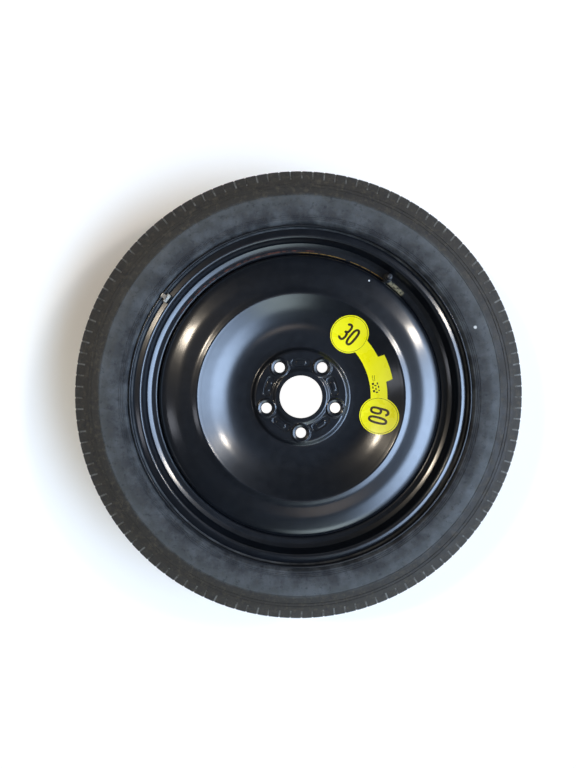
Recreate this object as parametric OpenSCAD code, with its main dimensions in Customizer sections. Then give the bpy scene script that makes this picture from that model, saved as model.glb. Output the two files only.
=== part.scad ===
// Temporary-use spare wheel: narrow tyre on a welded steel wheel, lying on its inboard side.
// Z is the wheel's axis and points outboard. The origin is the middle of the rim.

/* [Rim] */
// Bead seat diameter, measured at the flange
seat_d = 462; // [455:0.5:466]
// Width between the two flanges
rim_w = 101.6; // [96:0.1:108]
// Height of the flange above the bead seat
flange_h = 17.5; // [16:0.1:20]
// Radius of the flange curl on the tyre's side
curl_r = 9.5; // [8.5:0.1:10.5]
// Straight edge of the sheet past the curl
lip_l = 0.6; // [0.2:0.1:1.5]
// Sheet thickness of the rim
rim_t = 2.3; // [1.8:0.1:3]
// Radius of the bend between bead seat and flange
heel_r = 6.5; // [5:0.1:7]
// Width of the bead seat, from the flange to the hump
seat_w = 20; // [17:0.5:22]
// Taper of the bead seat
seat_taper = 5; // [3:0.5:6]
// Depth of the well below the bead seats, taken at the flange
well_depth = 18.5; // [16:0.5:22]
// Lean of the well's outboard wall
wall_draft = 8; // [4:0.5:14]
// Lean of the well's inboard wall
inner_draft = 24; // [15:0.5:35]
// Radius of the bends at the foot of the well's walls
well_bend_r = 5; // [3:0.5:6]
// Radius of the bends where the well's walls meet the bead seats
hump_bend_r = 8; // [6:0.5:9]

/* [Tyre] */
// Height of the tyre's section, from the bead seat to the top of the tread
section_h = 99; // [92:0.5:106]
// Width over the sidewalls
section_w = 128; // [122:1:134]
// Width of the tread
tread_w = 98; // [90:1:102]
// Crown radius of the tread, across its width
crown_r = 700; // [400:10:1500]
// Radius of the shoulder's edge
shoulder_r = 5; // [2:0.5:8]
// Rubber under the tread, without its grooves
tread_t = 13.5; // [12:0.5:16]
// Thickness of the sidewall
sidewall_t = 6.5; // [5:0.5:8]
// Width of the bead's base
bead_w = 16.5; // [13:0.5:17]
// Number of grooves that run round the tread
groove_count = 3; // [2:1:4]
// Width of a groove
groove_w = 6; // [3:0.5:8]
// Depth of a groove
groove_depth = 6; // [3:0.5:7]
// Distance from one groove to the next
groove_pitch = 22; // [16:0.5:24]
// Number of slots round each shoulder
slot_count = 124; // [60:2:140]
// Width of a shoulder slot
slot_w = 3; // [1.5:0.1:4]
// How far a slot runs in over the tread
slot_over_tread = 9; // [5:0.5:10]
// How far a long slot reaches in from the tread's radius
long_slot_reach = 15; // [12:0.5:18]
// How far a short slot reaches in from the tread's radius
short_slot_reach = 10.5; // [8:0.5:11.5]
// Depth of a shoulder slot
slot_depth = 3.2; // [2:0.1:4.5]
// Height of the raised ribs on the sidewall
rib_h = 0.6; // [0.3:0.1:1]

/* [Wheel disc] */
// Sheet thickness of the disc
disc_t = 3.8; // [3.2:0.1:4.4]
// How far the skirt reaches inboard of the rim's middle
skirt_depth = 12; // [8:0.5:16]
// Height of the shoulder's bend above the rim's middle
shoulder_z = 38; // [36:0.5:41]
// Width of the outer dish, from the skirt to the crest, the ring that stands furthest outboard
dish_w = 57.7; // [54:0.1:60]
// Height of the crest above the rim's middle
crest_z = 50.8; // [49:0.2:54]
// Height of the bowl's floor above the rim's middle
floor_z = 26.2; // [25:0.2:28.5]

/* [Hub] */
// Diameter of the hub bore
bore_d = 63.4; // [54:0.1:72]
// Height of the face that seats on the hub
hub_z = 29; // [27:0.2:31]
// Flat left between the lips of the lug holes and the edge of the hub pad
pad_margin = 0.5; // [0.2:0.1:4]
// Height of the collar round the bore
collar_h = 2.5; // [1:0.1:4]
// Width of the collar
collar_w = 8; // [6:0.5:9]
// Pitch circle of the lug holes
pcd = 108; // [104:0.5:112]
// Number of lug holes
lug_count = 5; // [4:1:5]
// Diameter of a lug hole
lug_hole_d = 15.5; // [13:0.1:16.5]
// Included angle of the lug seat
lug_seat_angle = 60; // [50:5:90]
// Outer diameter of the lip round a lug hole
lug_lip_d = 29; // [27:0.5:30]
// Height of that lip above the pad
lug_lip_h = 2.6; // [1.5:0.1:3.5]
// Straight wall left at the bottom of a lug hole
lug_land = 1.4; // [1:0.1:2]
// Length of a pocket pressed between two lug holes
pocket_l = 31; // [24:0.5:33]
// Width of a pocket
pocket_w = 13; // [8:0.5:14]
// Depth of a pocket
pocket_depth = 1.4; // [0.8:0.1:2]
// Pitch circle of the pockets
pocket_pcd = 102; // [98:0.5:106]

/* [Welds] */
// Number of weld beads between disc and rim
weld_count = 8; // [4:1:12]
// Angle that one weld bead covers
weld_angle = 18; // [8:1:24]
// Leg length of the weld's section
weld_leg = 4; // [3:0.5:5]

/* [Valve] */
// Angle of the valve round the wheel
valve_angle = 53.9; // [0:0.1:360]
// Distance of the valve's axis from the bottom of the well
valve_up = 6; // [5.5:0.1:6.5]
// Diameter of the valve hole in the rim
valve_hole_d = 11.3; // [10.5:0.1:12]
// Diameter of the rubber flange inside the tyre
valve_base_d = 16; // [14:0.5:16.5]
// Thickness of that flange
valve_base_h = 4; // [3:0.5:6]
// Diameter of the bulge that snaps in behind the hole
valve_lip_d = 14; // [13:0.5:15]
// Height of the bulge
valve_lip_h = 3.5; // [3:0.5:5]
// Diameter of the rubber where the stem comes out
valve_neck_d = 10.5; // [9.5:0.1:11]
// Height of the rubber above the bulge
valve_neck_h = 6; // [5:0.5:9]
// Diameter of the stem over its thread
stem_d = 7.7; // [7.2:0.1:8.2]
// Length of thread that stands clear of the rubber
stem_clear = 9; // [7:0.5:10]
// Bore of the stem where the core screws in
core_bore_d = 5.2; // [4.8:0.1:5.6]
// Length of the wide bore
core_bore_l = 7; // [6:0.5:8]
// Bore of the stem below the core's plug
lower_bore_d = 4.2; // [3.8:0.1:4.4]
// Diameter of the core's pin
pin_d = 1.2; // [0.9:0.1:1.4]
// Wire diameter of the core's spring
wire_d = 0.4; // [0.3:0.05:0.5]
// Turns of the core's spring
spring_turns = 4; // [3:1:6]
// Outer diameter of the valve cap
cap_d = 9.8; // [9.6:0.1:10.4]
// Length of the valve cap
cap_l = 11; // [10:0.5:13]
// Number of grip ribs round the cap
cap_ribs = 12; // [8:1:20]

/* [Balance weight] */
// Angle of the weight round the wheel
weight_angle = 143.6; // [0:0.1:360]
// Length of the weight along the flange
weight_l = 13.5; // [10:0.5:30]
// Height of the weight, across the flange
weight_h = 8.5; // [7:0.5:9.5]
// Width of the spring clip
clip_w = 6; // [4:0.5:8]
// Thickness of the spring clip
clip_t = 0.8; // [0.6:0.1:1]

/* [Load label] */
// Distance of the label's upper round end in from the crest
label_upper_in = 34.9; // [32:0.1:38]
// Distance of the label's lower round end in from the crest
label_lower_in = 32.7; // [31:0.1:38]
// Distance of the middle of the label's band in from the crest
label_band_in = 35.2; // [32:0.1:38]
// Diameter of a round end
label_disc_d = 57.6; // [40:0.1:60]
// Angle of the upper round end
label_upper_angle = 51.6; // [45:0.1:60]
// Angle of the lower round end
label_lower_angle = -14.5; // [-20:0.1:-5]
// Width of the band that joins the two ends
label_band_w = 23.5; // [15:0.5:30]
// Width of the tab at the band's outer edge
label_tab_w = 34; // [20:1:40]
// How far the tab stands out from the band
label_tab_h = 9; // [4:0.5:12]
// Thickness of the label
label_t = 0.25; // [0.15:0.05:0.5]

/* [Clearances] */
// Gap between the tyre and the rim
bead_gap = 0.1; // [0.05:0.05:0.2]
// Gap between disc and rim at the skirt
skirt_gap = 0.04; // [0.02:0.01:0.08]
// Gap between the parts of the valve that don't move
valve_gap = 0.05; // [0.03:0.01:0.08]
// Gap round the valve's pin
pin_gap = 0.1; // [0.08:0.01:0.15]
// Gap between the cap and the stem
cap_gap = 0.2; // [0.15:0.05:0.3]
// Gap under the label and behind the balance weight
stick_gap = 0.05; // [0.03:0.01:0.1]

/* [Hidden] */
$fn = 180;
eps = 0.01;
bend_steps = 7;

rubber = [0.13, 0.13, 0.135];
black_paint = [0.05, 0.055, 0.065];
weld_grey = [0.09, 0.09, 0.1];
valve_rubber = [0.07, 0.07, 0.07];
brass = [0.72, 0.58, 0.3];
spring_steel = [0.6, 0.6, 0.62];
weight_grey = [0.52, 0.5, 0.46];
label_yellow = [0.98, 0.93, 0.05];

// Radii and heights of the rim, on the tyre's side of the sheet
seat_r = seat_d / 2;
rim_half = rim_w / 2;
flange_r = seat_r + flange_h;
well_r = seat_r - well_depth;
hump_z = rim_half - seat_w;
hump_r = seat_r - seat_w * tan(seat_taper);
well_z = hump_z - (hump_r - well_r) * tan(wall_draft);
inner_well_z = hump_z - (hump_r - well_r) * tan(inner_draft);
curl_z = rim_half + curl_r;
flange_z = curl_z + lip_l;
well_in_r = well_r - rim_t;

// Radii and heights of the tyre
half_section = section_w / 2;
tread_half = tread_w / 2;
tyre_r = seat_r + section_h;
rim_cover = 5;
rim_cover_bend_r = 2;
foot_len = 10;
foot_drop = 1.5;
foot_bend_r = 12;
belly_flat = 6;
belly_bend_r = 40;
shoulder_drop = 18;
shoulder_in = 5.5;
shoulder_bend_r = 30;
lip_out_r = flange_r + rim_cover;
function crown_at(z) = tyre_r - crown_r + sqrt(crown_r * crown_r - z * z);
crown_edge_r = crown_at(tread_half);
shoulder_in_slope = (half_section - shoulder_in - tread_half) / shoulder_drop;
slot_end_depth = 0.4;
rib_w = 1;
rib_root = 1;
rib_pitch = 2.5;
foot_ribs = 3;
foot_rib_out = 3;
upper_rib_in = 17;
upper_rib_pitch = 4.5;

// Radii and heights of the disc and its hub
skirt_r = well_in_r - skirt_gap;
crest_r = skirt_r - dish_w;
bore_r = bore_d / 2;
pad_z = hub_z + disc_t;
collar_r = bore_r + collar_w;
first_lug_angle = -90;
lug_lip_r = lug_lip_d / 2;
pad_r = pcd / 2 + lug_lip_r + pad_margin;
lug_top_z = pad_z + lug_lip_h;
lug_relief_h = 1.2;
seat_z = hub_z + lug_relief_h + lug_land;
seat_h = (lug_top_z - seat_z) * 0.62;
seat_top_r = lug_hole_d / 2 + seat_h * tan(lug_seat_angle / 2);
pocket_r = pocket_pcd / 2;
pocket_mark_l = pocket_l * 0.48;
pocket_mark_w = pocket_w * 0.46;
pocket_mark_h = pocket_depth * 0.6;

// Heights of the valve, and radii inside it
valve_pos_r = well_r + valve_up;
valve_wall_z = well_z + (valve_pos_r - well_r) * tan(wall_draft);
valve_wall_top_z = valve_wall_z + rim_t / cos(wall_draft);
valve_base_z = valve_wall_z - valve_base_h;
neck_top_z = valve_wall_top_z + valve_lip_h + valve_neck_h;
stem_r = stem_d / 2;
stem_waist_r = stem_r - 0.6;
stem_foot_r = stem_r + 0.6;
stem_foot_z = valve_base_z + 1.2;
stem_top_z = neck_top_z + stem_clear;
core_seat_z = stem_top_z - core_bore_l;
core_cone_h = 0.8;
core_top_z = stem_top_z - 0.8;
gasket_h = 1.4;
gasket_cone_h = 0.6;
cone_slope = (core_bore_d - lower_bore_d) / 2 / core_cone_h;
barrel_r = lower_bore_d / 2 - 0.3;
barrel_z = core_seat_z - 4;
ledge_z = barrel_z + 0.8;
spring_room = 7;
spring_hole_r = barrel_r - 0.35;
pin_hole_r = pin_d / 2 + pin_gap;
pin_top_z = stem_top_z - 0.5;
pin_collar_h = 0.6;
pin_collar_z = ledge_z + spring_room - pin_collar_h - pin_gap;
spring_len = pin_collar_z - ledge_z;
spring_coil_r = (pin_d / 2 + spring_hole_r) / 2;
seal_h = 0.9;
seal_z = barrel_z - seal_h + 0.4 - pin_gap;
cap_r = cap_d / 2;
cap_hole_r = stem_r + cap_gap;
cap_z = neck_top_z + cap_gap;
cap_top_z = cap_z + cap_l;
cap_seal_h = 0.8;
cap_roof_z = stem_top_z + pin_gap + cap_seal_h;

// Chamfers and steps of the valve's rubber, stem and cap
base_chamfer = 2;
base_edge_h = 1.5;
base_under = 0.5;
lip_edge_h = 1.2;
lip_over_neck = 0.9;
neck_chamfer = 1;
stem_foot_h = 1.5;
stem_bend_h = 1.5;
stem_chamfer = 0.5;
cap_step = 0.4;
cap_round_h = 2;
cap_round_mid_h = 0.6;
cap_round_mid_in = 1.2;
cap_round_in = 2.4;
cap_rib_r = 0.5;
cap_rib_up = 0.6;
cap_rib_l = cap_l - 3.4;
pin_foot_h = 0.6;

// Places of the balance weight's hook and of the label's band
clip_hook = 2.4;
label_tab_angle = 18.9;
label_upper_r = crest_r - label_upper_in;
label_lower_r = crest_r - label_lower_in;
label_band_r = crest_r - label_band_in;

// Rounded paths: each corner is [radius from the axis, height, bend radius]
function point(c) = [c[0], c[1]];
function unit(v) = v / norm(v);
function turn(a, b) = let (d = b - a) d > 180 ? d - 360 : d < -180 ? d + 360 : d;
function on_circle(r, a) = [r * cos(a), r * sin(a)];
function corner_arc(a, b, c, r) =
    let (
        u = unit(a - b),
        w = unit(c - b),
        half = acos(u * w) / 2,
        middle = b + unit(u + w) * r / sin(half),
        from = b + u * r / tan(half) - middle,
        to = b + w * r / tan(half) - middle,
        start = atan2(from[1], from[0]),
        sweep = turn(start, atan2(to[1], to[0]))
    )
    [for (i = [0:bend_steps]) middle + on_circle(r, start + sweep * i / bend_steps)];
function rounded_path(corners) = [
    for (i = [0:len(corners) - 1])
        for (p = corners[i][2] == 0
            ? [point(corners[i])]
            : corner_arc(point(corners[i - 1]), point(corners[i]), point(corners[i + 1]), corners[i][2])) p
];
function left_of(v) = [-v[1], v[0]];
// A path moved sideways to its left by d, with its corners kept at full distance
function moved_path(p, d) = [
    for (i = [0:len(p) - 1])
        let (
            before = unit(i == 0 ? p[1] - p[0] : p[i] - p[i - 1]),
            after = unit(i == len(p) - 1 ? p[i] - p[i - 1] : p[i + 1] - p[i]),
            side = unit(left_of(before) + left_of(after))
        )
        p[i] + side * d / (side * left_of(after))
];
function backwards(p) = [for (i = [len(p) - 1:-1:0]) p[i]];
// The same corners, seen from the other side of the wheel's middle
function mirrored(c) = [c[0], -c[1], c[2]];
function flipped(corners) = [for (c = backwards(corners)) mirrored(c)];

// A band that lies between two distances to the left of a path, turned round the axis
module sheet(path, near, far, sweep = 360) {
    rotate_extrude(angle = sweep)
        polygon(concat(moved_path(path, near), backwards(moved_path(path, far))));
}
module ring_of(count) {
    for (i = [0:count - 1])
        rotate([0, 0, i * 360 / count]) children();
}

// The rim's tyre side, from the outboard lip to the inboard lip
function flange_corners(wall_z) = [
    [flange_r, flange_z, 0],
    [flange_r, rim_half, curl_r],
    [seat_r, rim_half, heel_r],
    [hump_r, hump_z, hump_bend_r],
    [well_r, wall_z, well_bend_r]
];
rim_path = rounded_path(concat(flange_corners(well_z), flipped(flange_corners(inner_well_z))));

module rim_body() {
    difference() {
        sheet(rim_path, 0, -rim_t);
        valve_place()
            cylinder(h = hump_z + valve_lip_h, d = valve_hole_d);
    }
}
module rim() {
    color(black_paint) rim_body();
}

// The tyre's section, from the bead's toe over the sidewall to the tread, then the same inside
bead_r = seat_r + bead_gap;
bead_half = rim_half - bead_gap;
toe_r = bead_r - bead_w * tan(seat_taper);
toe_z = rim_half - bead_w;
curl_leave = (curl_r + bead_gap) * tan(45 / 2);
bead_core = 8;
shoulder_t = 12;
inner_bend_r = 14;
inner_half = half_section - sidewall_t;
belly_r = (lip_out_r + crown_edge_r) / 2;
tyre_outside = [
    [toe_r, toe_z, 0],
    [bead_r, bead_half, heel_r],
    [flange_r - curl_r + curl_leave, bead_half, curl_r + bead_gap],
    [lip_out_r, bead_half + rim_cover + curl_r - curl_leave, rim_cover_bend_r],
    [lip_out_r + foot_len, half_section - foot_drop, foot_bend_r],
    [belly_r - belly_flat, half_section, belly_bend_r],
    [belly_r + belly_flat, half_section, belly_bend_r],
    [crown_edge_r - shoulder_drop, half_section - shoulder_in, shoulder_bend_r],
    [crown_edge_r, tread_half, shoulder_r]
];
tyre_inside = [
    [toe_r, toe_z, 0],
    [bead_r + bead_core, toe_z + bead_core / 3, bead_core],
    [lip_out_r - rim_cover, rim_half - rim_cover, foot_bend_r],
    [lip_out_r + foot_len, inner_half - foot_drop, foot_bend_r],
    [belly_r - belly_flat, inner_half, belly_bend_r - sidewall_t],
    [belly_r + belly_flat, inner_half, belly_bend_r - sidewall_t],
    [crown_edge_r - shoulder_drop, inner_half - shoulder_in, inner_bend_r],
    [crown_edge_r - tread_t, tread_half - shoulder_t, inner_bend_r]
];
crown_steps = 6;
crown_corners = [
    for (i = [crown_steps - 1:-1:1 - crown_steps])
        let (z = tread_half * i / crown_steps) [crown_at(z), z, 0]
];
outside_path = rounded_path(concat(tyre_outside, crown_corners, flipped(tyre_outside)));
inside_path = rounded_path(concat(tyre_inside, flipped(tyre_inside)));
sidewall_line = [
    for (p = rounded_path(concat(tyre_outside, crown_corners)))
        if (p[0] > lip_out_r && p[1] > tread_half) p
];
groove_places = [for (i = [0:groove_count - 1]) (i - (groove_count - 1) / 2) * groove_pitch];
foot_rib_places = [for (i = [0:foot_ribs - 1]) lip_out_r + foot_rib_out + i * rib_pitch];
upper_rib_places = [for (i = [0, 1]) crown_edge_r - upper_rib_in - i * upper_rib_pitch];

module tyre_section() {
    difference() {
        polygon(concat(outside_path, backwards(inside_path)));
        for (z = groove_places)
            translate([crown_at(z) - groove_depth, z - groove_w / 2])
                square([groove_depth * 2, groove_w]);
    }
}
module sidewall_ribs() {
    for (side = [0, 1])
        mirror([0, 0, side])
            for (r = concat(foot_rib_places, upper_rib_places))
                rotate_extrude()
                    translate([r - rib_w / 2, lookup(r, sidewall_line) - rib_root])
                        square([rib_w, rib_root + rib_h]);
}
// One slot's cutter: over the tread's edge and down the shoulder, running out at its reach
module shoulder_slot(reach) {
    floor_in = tread_half + reach * shoulder_in_slope - slot_end_depth;
    outside = tyre_r + slot_w;
    rotate([90, 0, 0])
        translate([0, 0, -slot_w / 2])
            linear_extrude(slot_w)
                polygon([
                    [outside, tread_half - slot_over_tread],
                    [crown_edge_r - slot_depth, tread_half - slot_over_tread],
                    [crown_edge_r - slot_depth * 4 / 3, tread_half - slot_depth / 2],
                    [crown_edge_r - reach, floor_in],
                    [crown_edge_r - reach, half_section + slot_w],
                    [outside, half_section + slot_w]
                ]);
}
module tyre() {
    color(rubber)
        difference() {
            union() {
                rotate_extrude() tyre_section();
                sidewall_ribs();
            }
            for (side = [0, 1], i = [0:slot_count - 1])
                mirror([0, 0, side])
                    rotate([0, 0, (i + side / 2) * 360 / slot_count])
                        shoulder_slot(i % 2 == 0 ? long_slot_reach : short_slot_reach);
        }
}

// Corners of the outer dish: how far in from the skirt, how far above the shoulder, bend radius
dish_corners = [[0, 0, 10], [11, 4.6, 40], [29, 8.8, 60]];
// Corners of the crest and of the bowl's wall: how far out from the crest, how far above it, bend radius
crest_corners = [[8.5, -2.6, 25], [0, 0, 4.5], [-6, -6.3, 12], [-18.5, -14.3, 40], [-34.5, -20.6, 60]];
// Corners of the bowl's floor: how far out from the pad, bend radius
floor_corners = [[15, 40], [8, 5]];
pad_bend_r = 5;
collar_foot = 4.5;
collar_bend_r = 3.8;
collar_face_r = collar_r - 1.5;

// The disc's outboard face, from the skirt's inboard edge to the bore
disc_path = rounded_path(concat(
    [[skirt_r, -skirt_depth, 0]],
    [for (c = dish_corners) [skirt_r - c[0], shoulder_z + c[1], c[2]]],
    [for (c = crest_corners) [crest_r + c[0], crest_z + c[1], c[2]]],
    [for (c = floor_corners) [pad_r + c[0], floor_z, c[1]]],
    [
        [pad_r, pad_z, pad_bend_r],
        [collar_face_r + collar_foot, pad_z, collar_bend_r * 0.8],
        [collar_face_r, pad_z + collar_h, collar_bend_r],
        [bore_r - 2, pad_z + collar_h, 0]
    ]
));

module lug_place() {
    rotate([0, 0, first_lug_angle])
        ring_of(lug_count)
            translate([pcd / 2, 0, 0]) children();
}
module lug_lip() {
    translate([0, 0, hub_z + 1])
        cylinder(h = pad_z + lug_lip_h - hub_z - 1, r1 = lug_lip_r + 1.2, r2 = lug_lip_r - 1.2);
}
module lug_cut() {
    cylinder(h = crest_z, d = lug_hole_d);
    translate([0, 0, hub_z - eps])
        cylinder(h = lug_relief_h, r1 = lug_lip_r - 2.5, r2 = lug_hole_d / 2 + 1);
    translate([0, 0, seat_z])
        cylinder(h = seat_h, r1 = lug_hole_d / 2, r2 = seat_top_r);
    translate([0, 0, seat_z + seat_h - eps])
        cylinder(h = lug_top_z - seat_z - seat_h + 2 * eps, r1 = seat_top_r, r2 = lug_lip_r - 2.6);
}
// A kidney-shaped prism that follows the circle of the pockets
module kidney(length, width, height) {
    span = (length - width) / pocket_r * 180 / PI;
    rotate([0, 0, -span / 2])
        rotate_extrude(angle = span)
            translate([pocket_r - width / 2, 0])
                square([width, height]);
    for (side = [-1, 1])
        rotate([0, 0, side * span / 2])
            translate([pocket_r, 0, 0])
                cylinder(h = height, d = width);
}
module pocket_place() {
    rotate([0, 0, first_lug_angle + 180 / lug_count])
        ring_of(lug_count) children();
}
module wheel_disc() {
    color(black_paint) {
        difference() {
            union() {
                sheet(disc_path, 0, disc_t);
                lug_place() lug_lip();
            }
            cylinder(h = crest_z, d = bore_d);
            lug_place() lug_cut();
            pocket_place()
                translate([0, 0, pad_z - pocket_depth])
                    difference() {
                        kidney(pocket_l, pocket_w, pocket_depth + lug_lip_h);
                        kidney(pocket_mark_l, pocket_mark_w, pocket_mark_h);
                    }
        }
    }
}

module weld_beads() {
    color(weld_grey)
        ring_of(weld_count)
            rotate([0, 0, -weld_angle / 2])
                rotate_extrude(angle = weld_angle)
                    polygon([
                        [well_in_r, -skirt_depth],
                        [well_in_r - weld_leg, -skirt_depth],
                        [well_in_r - weld_leg * 0.8, -skirt_depth - weld_leg * 0.5],
                        [well_in_r - weld_leg * 0.5, -skirt_depth - weld_leg * 0.8],
                        [well_in_r, -skirt_depth - weld_leg]
                    ]);
}

// The valve stands parallel to the wheel's axis, in the well's outboard wall
module valve_place() {
    rotate([0, 0, valve_angle])
        translate([valve_pos_r, 0, 0]) children();
}
module turned(points) {
    rotate_extrude() polygon(points);
}
stem_outline = [
    [0, stem_foot_z],
    [stem_foot_r, stem_foot_z],
    [stem_foot_r, stem_foot_z + stem_foot_h],
    [stem_waist_r, stem_foot_z + stem_foot_h + stem_bend_h],
    [stem_waist_r, neck_top_z - 2 * stem_bend_h],
    [stem_r, neck_top_z - stem_bend_h],
    [stem_r, stem_top_z - stem_chamfer],
    [stem_r - stem_chamfer, stem_top_z],
    [0, stem_top_z]
];
// The room for the stem in the rubber, open at the foot
stem_room = concat(
    [
        [0, valve_base_z - 1],
        [lower_bore_d / 2, valve_base_z - 1],
        [lower_bore_d / 2, stem_foot_z - valve_gap]
    ],
    [
        for (p = stem_outline)
            if (p[0] > 0) [p[0] + valve_gap, p[1] > stem_foot_z ? p[1] : p[1] - valve_gap]
    ],
    [[0, stem_top_z]]
);
module valve_body() {
    color(valve_rubber)
        difference() {
            valve_place()
                difference() {
                    turned([
                        [0, valve_base_z],
                        [valve_base_d / 2 - base_chamfer, valve_base_z],
                        [valve_base_d / 2, valve_base_z + base_edge_h],
                        [valve_base_d / 2, valve_wall_z - base_under],
                        [valve_hole_d / 2, valve_wall_z],
                        [valve_hole_d / 2, valve_wall_top_z],
                        [valve_lip_d / 2, valve_wall_top_z + lip_edge_h],
                        [valve_neck_d / 2 + lip_over_neck, valve_wall_top_z + valve_lip_h],
                        [valve_neck_d / 2, neck_top_z - neck_chamfer],
                        [valve_neck_d / 2 - neck_chamfer, neck_top_z],
                        [0, neck_top_z]
                    ]);
                    turned(stem_room);
                }
            rim_body();
            cylinder(h = valve_wall_z - 0.12, r = valve_pos_r - valve_hole_d / 2 + 1);
        }
}
module valve_stem() {
    color(brass)
        valve_place()
            difference() {
                turned(stem_outline);
                cylinder(h = stem_top_z, d = lower_bore_d);
                translate([0, 0, core_seat_z])
                    cylinder(h = stem_top_z, d = core_bore_d);
                translate([0, 0, core_seat_z - core_cone_h])
                    cylinder(h = core_cone_h + eps, d1 = lower_bore_d, d2 = core_bore_d);
            }
}
// The core: a screwed plug with its barrel, the pin through it, and the seal under the barrel
module core_housing() {
    plug_z = core_seat_z + gasket_h + valve_gap;
    flat_x = barrel_r * 0.6;
    flat_h = 1.8;
    color(brass)
        valve_place()
            difference() {
                union() {
                    translate([0, 0, plug_z])
                        cylinder(h = core_top_z - plug_z, d = core_bore_d - 2 * valve_gap);
                    translate([0, 0, barrel_z])
                        cylinder(h = core_top_z - barrel_z, r = barrel_r);
                }
                cylinder(h = stem_top_z, r = pin_hole_r);
                translate([0, 0, ledge_z])
                    cylinder(h = spring_room, r = spring_hole_r);
                for (side = [-1, 1])
                    translate([side > 0 ? flat_x : -core_bore_d, -core_bore_d / 2, core_top_z - flat_h])
                        cube([core_bore_d - flat_x, core_bore_d, flat_h + 0.2]);
            }
}
module core_gasket() {
    inner_r = barrel_r + valve_gap;
    outer_r = core_bore_d / 2 - valve_gap;
    color(valve_rubber)
        valve_place()
            turned([
                [inner_r, core_seat_z - gasket_cone_h],
                [outer_r - gasket_cone_h * cone_slope, core_seat_z - gasket_cone_h],
                [outer_r, core_seat_z],
                [outer_r, core_seat_z + gasket_h],
                [inner_r, core_seat_z + gasket_h]
            ]);
}
module core_pin() {
    color(brass)
        valve_place() {
            translate([0, 0, seal_z - 1])
                cylinder(h = pin_top_z - seal_z + 1, d = pin_d);
            translate([0, 0, pin_collar_z])
                cylinder(h = pin_collar_h, r = spring_hole_r - pin_gap);
            translate([0, 0, seal_z - 1])
                cylinder(h = pin_foot_h, r = barrel_r * 0.8);
        }
}
module core_seal() {
    color(valve_rubber)
        valve_place()
            translate([0, 0, seal_z - 0.4])
                difference() {
                    cylinder(h = seal_h, r = barrel_r);
                    translate([0, 0, -1])
                        cylinder(h = seal_h + 2, d = pin_d);
                }
}
// The spring is a round wire swept along a helix between the barrel's ledge and the pin's collar
spring_sides = 8;
spring_steps = 18 * spring_turns;
function spring_ring(i) =
    let (
        a = 360 * i * spring_turns / spring_steps,
        z = ledge_z + wire_d / 2 + eps + (spring_len - wire_d - 2 * eps) * i / spring_steps
    )
    [for (k = [0:spring_sides - 1])
        let (b = 360 * k / spring_sides, r = spring_coil_r + wire_d / 2 * cos(b))
        [r * cos(a), r * sin(a), z + wire_d / 2 * sin(b)]];
module core_spring() {
    n = spring_sides;
    color(spring_steel)
        valve_place()
            polyhedron(
                points = [for (i = [0:spring_steps], p = spring_ring(i)) p],
                faces = concat(
                    [[for (k = [0:n - 1]) k]],
                    [for (i = [0:spring_steps - 1], k = [0:n - 1])
                        [i * n + k, (i + 1) * n + k, (i + 1) * n + (k + 1) % n, i * n + (k + 1) % n]],
                    [[for (k = [n - 1:-1:0]) spring_steps * n + k]]
                )
            );
}
module valve_cap() {
    color(valve_rubber)
        valve_place()
            difference() {
                union() {
                    turned([
                        [0, cap_z],
                        [cap_r - cap_step, cap_z],
                        [cap_r - cap_step, cap_top_z - cap_round_h],
                        [cap_r - cap_round_mid_in, cap_top_z - cap_round_mid_h],
                        [cap_r - cap_round_in, cap_top_z],
                        [0, cap_top_z]
                    ]);
                    ring_of(cap_ribs)
                        translate([cap_r - cap_rib_r, 0, cap_z + cap_rib_up])
                            cylinder(h = cap_rib_l, r = cap_rib_r, $fn = 24);
                }
                translate([0, 0, cap_z - 1])
                    cylinder(h = cap_roof_z - cap_z + 1, r = cap_hole_r);
            }
}
module cap_seal() {
    color(rubber)
        valve_place()
            translate([0, 0, cap_roof_z - cap_seal_h])
                cylinder(h = cap_seal_h, r = cap_hole_r - valve_gap);
}

// The balance weight lies in the hollow of the flange's curl, under its clip
module weight_arc(length, r) {
    span = length / r * 180 / PI;
    rotate([0, 0, weight_angle - span / 2])
        rotate_extrude(angle = span) children();
}
module weight_body() {
    curl_mid = [flange_r - curl_r, curl_z];
    hollow_r = curl_r - rim_t - stick_gap;
    inner_r = flange_r - rim_t - weight_h;
    chamfer = 1.5;
    color(weight_grey)
        weight_arc(weight_l, flange_r)
            polygon(concat(
                [for (a = [0:-10:-80]) curl_mid + hollow_r * [cos(a), sin(a)]],
                [
                    [inner_r + 1, flange_z - hollow_r + chamfer],
                    [inner_r, flange_z - hollow_r + 2 * chamfer],
                    [inner_r, flange_z - chamfer],
                    [inner_r + chamfer, flange_z]
                ]
            ));
}
module weight_clip() {
    clip_path = [
        [flange_r - rim_t - weight_h + 2, flange_z + stick_gap],
        [flange_r + stick_gap, flange_z + stick_gap],
        [flange_r + stick_gap, flange_z - clip_hook]
    ];
    color(spring_steel)
        weight_arc(clip_w, flange_r)
            polygon(concat(moved_path(clip_path, 0), backwards(moved_path(clip_path, clip_t))));
}

// The label lies on the bowl: a thin shell over the disc's face, cut to the label's outline
label_line = [for (p = disc_path) if (p[0] < crest_r - 1 && p[0] > pad_r + 7) p];
module label_outline() {
    for (end = [[label_upper_angle, label_upper_r], [label_lower_angle, label_lower_r]])
        rotate([0, 0, end[0]])
            translate([end[1], 0, 0])
                cylinder(h = crest_z, d = label_disc_d);
    rotate([0, 0, label_lower_angle])
        rotate_extrude(angle = label_upper_angle - label_lower_angle)
            translate([label_band_r - label_band_w / 2, 0])
                square([label_band_w, crest_z]);
    rotate([0, 0, label_tab_angle])
        translate([label_band_r, -label_tab_w / 2, 0])
            cube([label_band_w / 2 + label_tab_h, label_tab_w, crest_z]);
}
module load_label() {
    color(label_yellow)
        intersection() {
            sheet(label_line, -stick_gap, -stick_gap - label_t);
            label_outline();
        }
}

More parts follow.
